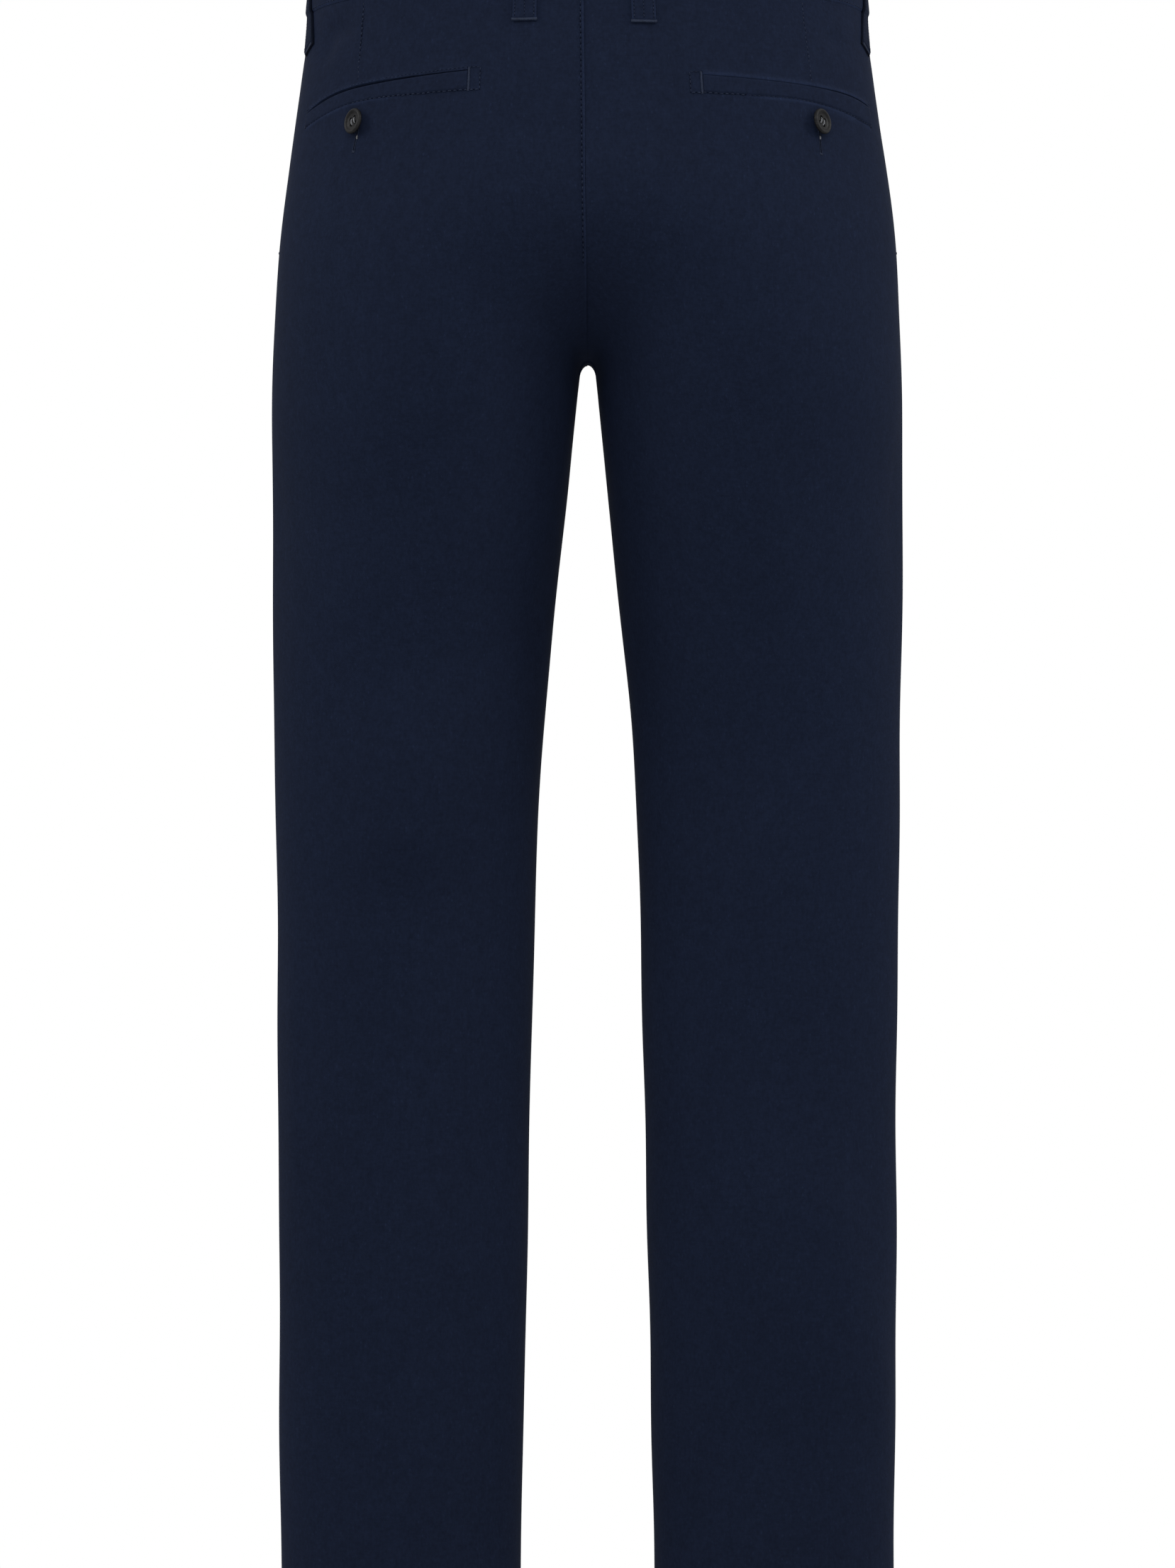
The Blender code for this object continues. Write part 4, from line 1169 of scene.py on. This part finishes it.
# ---- buttons ----

# Half of a button's section: share of its radius, height as a share of the radius
BUTTON_PROFILE = (
    (0.0, 0.0), (0.55, 0.0), (0.80, 0.03), (0.93, 0.08), (0.985, 0.14), (1.0, 0.2), (0.985, 0.27),
    (0.95, 0.33), (0.90, 0.365), (0.85, 0.375), (0.79, 0.36), (0.73, 0.315), (0.68, 0.27), (0.62, 0.24),
    (0.5, 0.225), (0.3, 0.215), (0.0, 0.21),
)
BUTTON_FACE = 0.215  # height of its middle, as a share of the radius
BUTTON_SIDES = 56
HOLE_SIDES = 20
HOLE_SPACING = 0.11  # from the middle along both axes, as a share of the button's size
HOLE_RADIUS = 0.078
THREAD_SPACING = 0.28  # between the strands in a pair of holes

buttons, button_threads = [], []


def turned_mesh(name, radius):
    """A turned button, with the middle of its underside at the origin."""
    (_, low), *profile, (_, high) = BUTTON_PROFILE
    rings = [ring(share * radius, BUTTON_SIDES, lift * radius) for share, lift in profile]
    points = np.concatenate([[(0, 0, low * radius)], *rings, [(0, 0, high * radius)]]) * MM
    faces = tube_faces(len(rings), BUTTON_SIDES, 1)
    # The first and the last ring are closed by fans round the two middle points
    under, over = faces.pop(-2), faces.pop(-1)
    for rim, middle in ((under, 0), (over, len(points) - 1)):
        faces += [[rim[step - 1], rim[step], middle] for step in range(BUTTON_SIDES)]
    return mesh_object(name, points, faces)


def drill(button, size):
    """Cuts a button's four holes."""
    rings, faces = [], []
    for x, y in ((1, 1), (1, -1), (-1, -1), (-1, 1)):
        centre = (x * HOLE_SPACING * size, y * HOLE_SPACING * size)
        faces += tube_faces(2, HOLE_SIDES, len(rings) * HOLE_SIDES)
        rings += [ring(HOLE_RADIUS * size, HOLE_SIDES, lift, centre) for lift in (-size, size)]
    cutter = mesh_object("holes", np.concatenate(rings) * MM, faces)
    cut = button.modifiers.new("holes", "BOOLEAN")
    cut.operation, cut.object = "DIFFERENCE", cutter
    bpy.context.view_layer.update()
    cut_button = button.evaluated_get(bpy.context.evaluated_depsgraph_get())
    drilled = bpy.data.meshes.new_from_object(cut_button)
    button.modifiers.clear()
    button.data = drilled
    bpy.data.objects.remove(cutter, do_unlink=True)


def build_button(name, size, side, around, height, turn, tilt=0.0):
    """A button in the place of its CAD node, with its sewing thread.

    turn rolls its holes round its axis. tilt turns its face away from the centre, with its edge on the cloth.
    """
    seat = Vector(to_world(surface(side, around, height)))
    outward = Vector(normals(side, around, height))
    lift = min((vertex.co - seat).dot(outward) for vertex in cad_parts[name].data.vertices)
    lift = max(lift, MM * (size / 2 * math.sin(tilt) + LAID_GAP))
    leaned = Matrix.Rotation(-side * tilt, 4, "Z") @ outward.to_track_quat("Z", "Y").to_matrix().to_4x4()
    place = Matrix.Translation(seat + outward * lift) @ leaned @ Matrix.Rotation(turn, 4, "Z")
    button = turned_mesh(f"{name}_turned", size / 2)
    drill(button, size)
    button.data.transform(place)
    button.data.materials.append(HORN)
    button.data.shade_smooth()
    button.data.set_sharp_from_angle(angle=math.radians(40))
    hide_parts(name)
    buttons.append(button)

    thread = Sewing(f"{name}_thread", 100 + len(name))
    axes = np.array(place.to_3x3()).T
    across, along, out = axes
    middle = np.array(place.translation) / MM + (0.0, 0.0, ORIGIN_HEIGHT)
    top = middle + out * (BUTTON_FACE * size / 2 + 0.42)
    # The pale strands in the holes are partly painted highlight, for the glint in the button's middle
    for way in (-1, 1):
        strands = way * (HOLE_SPACING * size - 0.45) + THREAD_SPACING * np.array([-1.0, 0.0, 1.0])
        centres = top + np.outer(strands, across)
        thread.rods(centres, along, out, HOLE_SPACING * size * 2.5, 0.21, 0.75, PALE_THREAD_GLINT, sides=8)
    # The shank between the button and the cloth
    thread.rods(middle + ring(0.8, 8, -0.3) @ axes, out, across, 2.4, 0.3, 0.0, THREAD)
    button_threads.append(thread.finish())


# ---- building ----

build_backs()
build_fronts()
build_fly()
build_facings()
build_waistband()
build_loops()
build_welts()
sewings = []
for side, hand in HANDS:
    sewings += [sew(side, hand) for sew in (sew_back, sew_front, sew_band, sew_loops, sew_hem)]
sewings.append(sew_fly())
sewn = [work.finish() for work in sewings]
distance, level = POCKET_BUTTON_PLACE
for side, hand in HANDS:
    centre = around_at_x(distance - BUTTON_SHIFTS[side], level, 1)
    turn = BUTTON_TURNS[side]
    build_button(f"pocket_button_{hand}", POCKET_BUTTON_SIZE, side, centre, level, turn, BUTTON_TILT)
middle = float(waist_line(-1.0, BAND_HEIGHT / 2))
centre = around_at_x(WAIST_BUTTON_PLACE, middle, -1)
build_button("waist_button", WAIST_BUTTON_SIZE, 1, centre, middle, 0.1)

# ---- what each piece is ----

for piece in (*cloths, *sewn, *buttons, *button_threads):
    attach(piece, "root")

# The kind and the hand of each cloth piece, read from its name
for piece in cloths:
    name = piece.name.removeprefix("cloth_")
    kind, _, hand = name.rpartition("_")
    if hand not in ("left", "right"):
        kind, hand = name, "left"


# ---- camera, floor and light ----

SENSOR = 36.0
CAMERA_DISTANCE = 3.1
SEEN_HEIGHT = 0.9224  # at the garment
CAMERA_LEVEL = -0.470
FLOOR_RADIUS = 0.74
FLOOR_LEVEL = -1.0445
# Area lights: place, what it points at, width and height, power
LIGHTS = {
    "left": ((2.0, 0.6, 0.95), (0.10, 0.0, -0.15), (0.9, 1.4), 18.0),
    "right": ((-2.0, 0.6, 0.95), (-0.10, 0.0, -0.15), (0.9, 1.4), 20.5),
    "top": ((0.0, 1.6, 1.2), (0.0, 0.0, 0.0), (1.4, 0.8), 8.5),
    "key": ((0.0, 1.9, -0.35), (0.0, 0.0, -0.2), (1.2, 0.8), 4.5),
    "low": ((0.0, 1.1, -0.75), (0.0, 0.0, 0.15), (0.6, 0.4), 0.35),
    "front": ((0.0, -3.0, 1.2), (0.0, 0.0, -0.5), (2.4, 1.4), 30.0),
}
LIGHT_SPREADS = {"low": math.radians(100)}
WHITE = (1.0, 1.0, 1.0, 1.0)


def aim(made, place, target):
    made.location = place
    made.rotation_euler = (Vector(target) - Vector(place)).to_track_quat("-Z", "Y").to_euler()


camera = add_object("camera", bpy.data.cameras.new("camera"))
camera.data.sensor_width = SENSOR
camera.data.lens = SENSOR * CAMERA_DISTANCE / SEEN_HEIGHT
camera.data.clip_end = 50.0
aim(camera, (0.0, CAMERA_DISTANCE, CAMERA_LEVEL), (0.0, 0.0, CAMERA_LEVEL))
bpy.context.scene.camera = camera

floor_paint = bpy.data.materials.new("floor")
floor_paint.use_nodes = True
floor_look = {"Base Color": (0.85, 0.85, 0.85, 1.0), "Roughness": 0.9}
connect(floor_paint.node_tree, floor_paint.node_tree.nodes["Principled BSDF"], floor_look)
floor_mesh = bpy.data.meshes.new("floor")
floor_mesh.from_pydata(ring(FLOOR_RADIUS, 128, FLOOR_LEVEL).tolist(), [], [list(range(128))])
floor_mesh.materials.append(floor_paint)
floor = add_object("floor", floor_mesh)
floor.visible_diffuse = False

for name, (place, target, size, power) in LIGHTS.items():
    lamp = bpy.data.lights.new(f"light_{name}", "AREA")
    lamp.shape, lamp.size, lamp.size_y = "RECTANGLE", *size
    lamp.energy, lamp.spread = power, LIGHT_SPREADS.get(name, math.pi)
    softbox = add_object(f"light_{name}", lamp)
    aim(softbox, place, target)
    softbox.visible_camera = False

world = bpy.data.worlds.new("studio")
bpy.context.scene.world = world
world.use_nodes = True
tree = world.node_tree
# The camera sees white. The garment gets more light from above than from below
seen = tree.nodes["Background"]
seen.inputs["Color"].default_value = WHITE
compass = add_node(tree, "ShaderNodeTexCoord", {})
upward = add_node(tree, "ShaderNodeSeparateXYZ", {"Vector": compass.outputs["Generated"]})
glow = {"Value": upward.outputs["Z"], "From Min": -1.0, "From Max": 1.0, "To Min": 0.30, "To Max": 0.58}
strength = add_node(tree, "ShaderNodeMapRange", glow).outputs["Result"]
sky = add_node(tree, "ShaderNodeBackground", {"Color": WHITE, "Strength": strength})
rays = add_node(tree, "ShaderNodeLightPath", {})
sides = {"Fac": rays.outputs["Is Camera Ray"], 1: sky.outputs["Background"], 2: seen.outputs["Background"]}
chosen = add_node(tree, "ShaderNodeMixShader", sides)
connect(tree, tree.nodes["World Output"], {"Surface": chosen.outputs["Shader"]})

bpy.context.scene.view_settings.view_transform = "Standard"
bpy.context.scene.view_settings.look = "None"
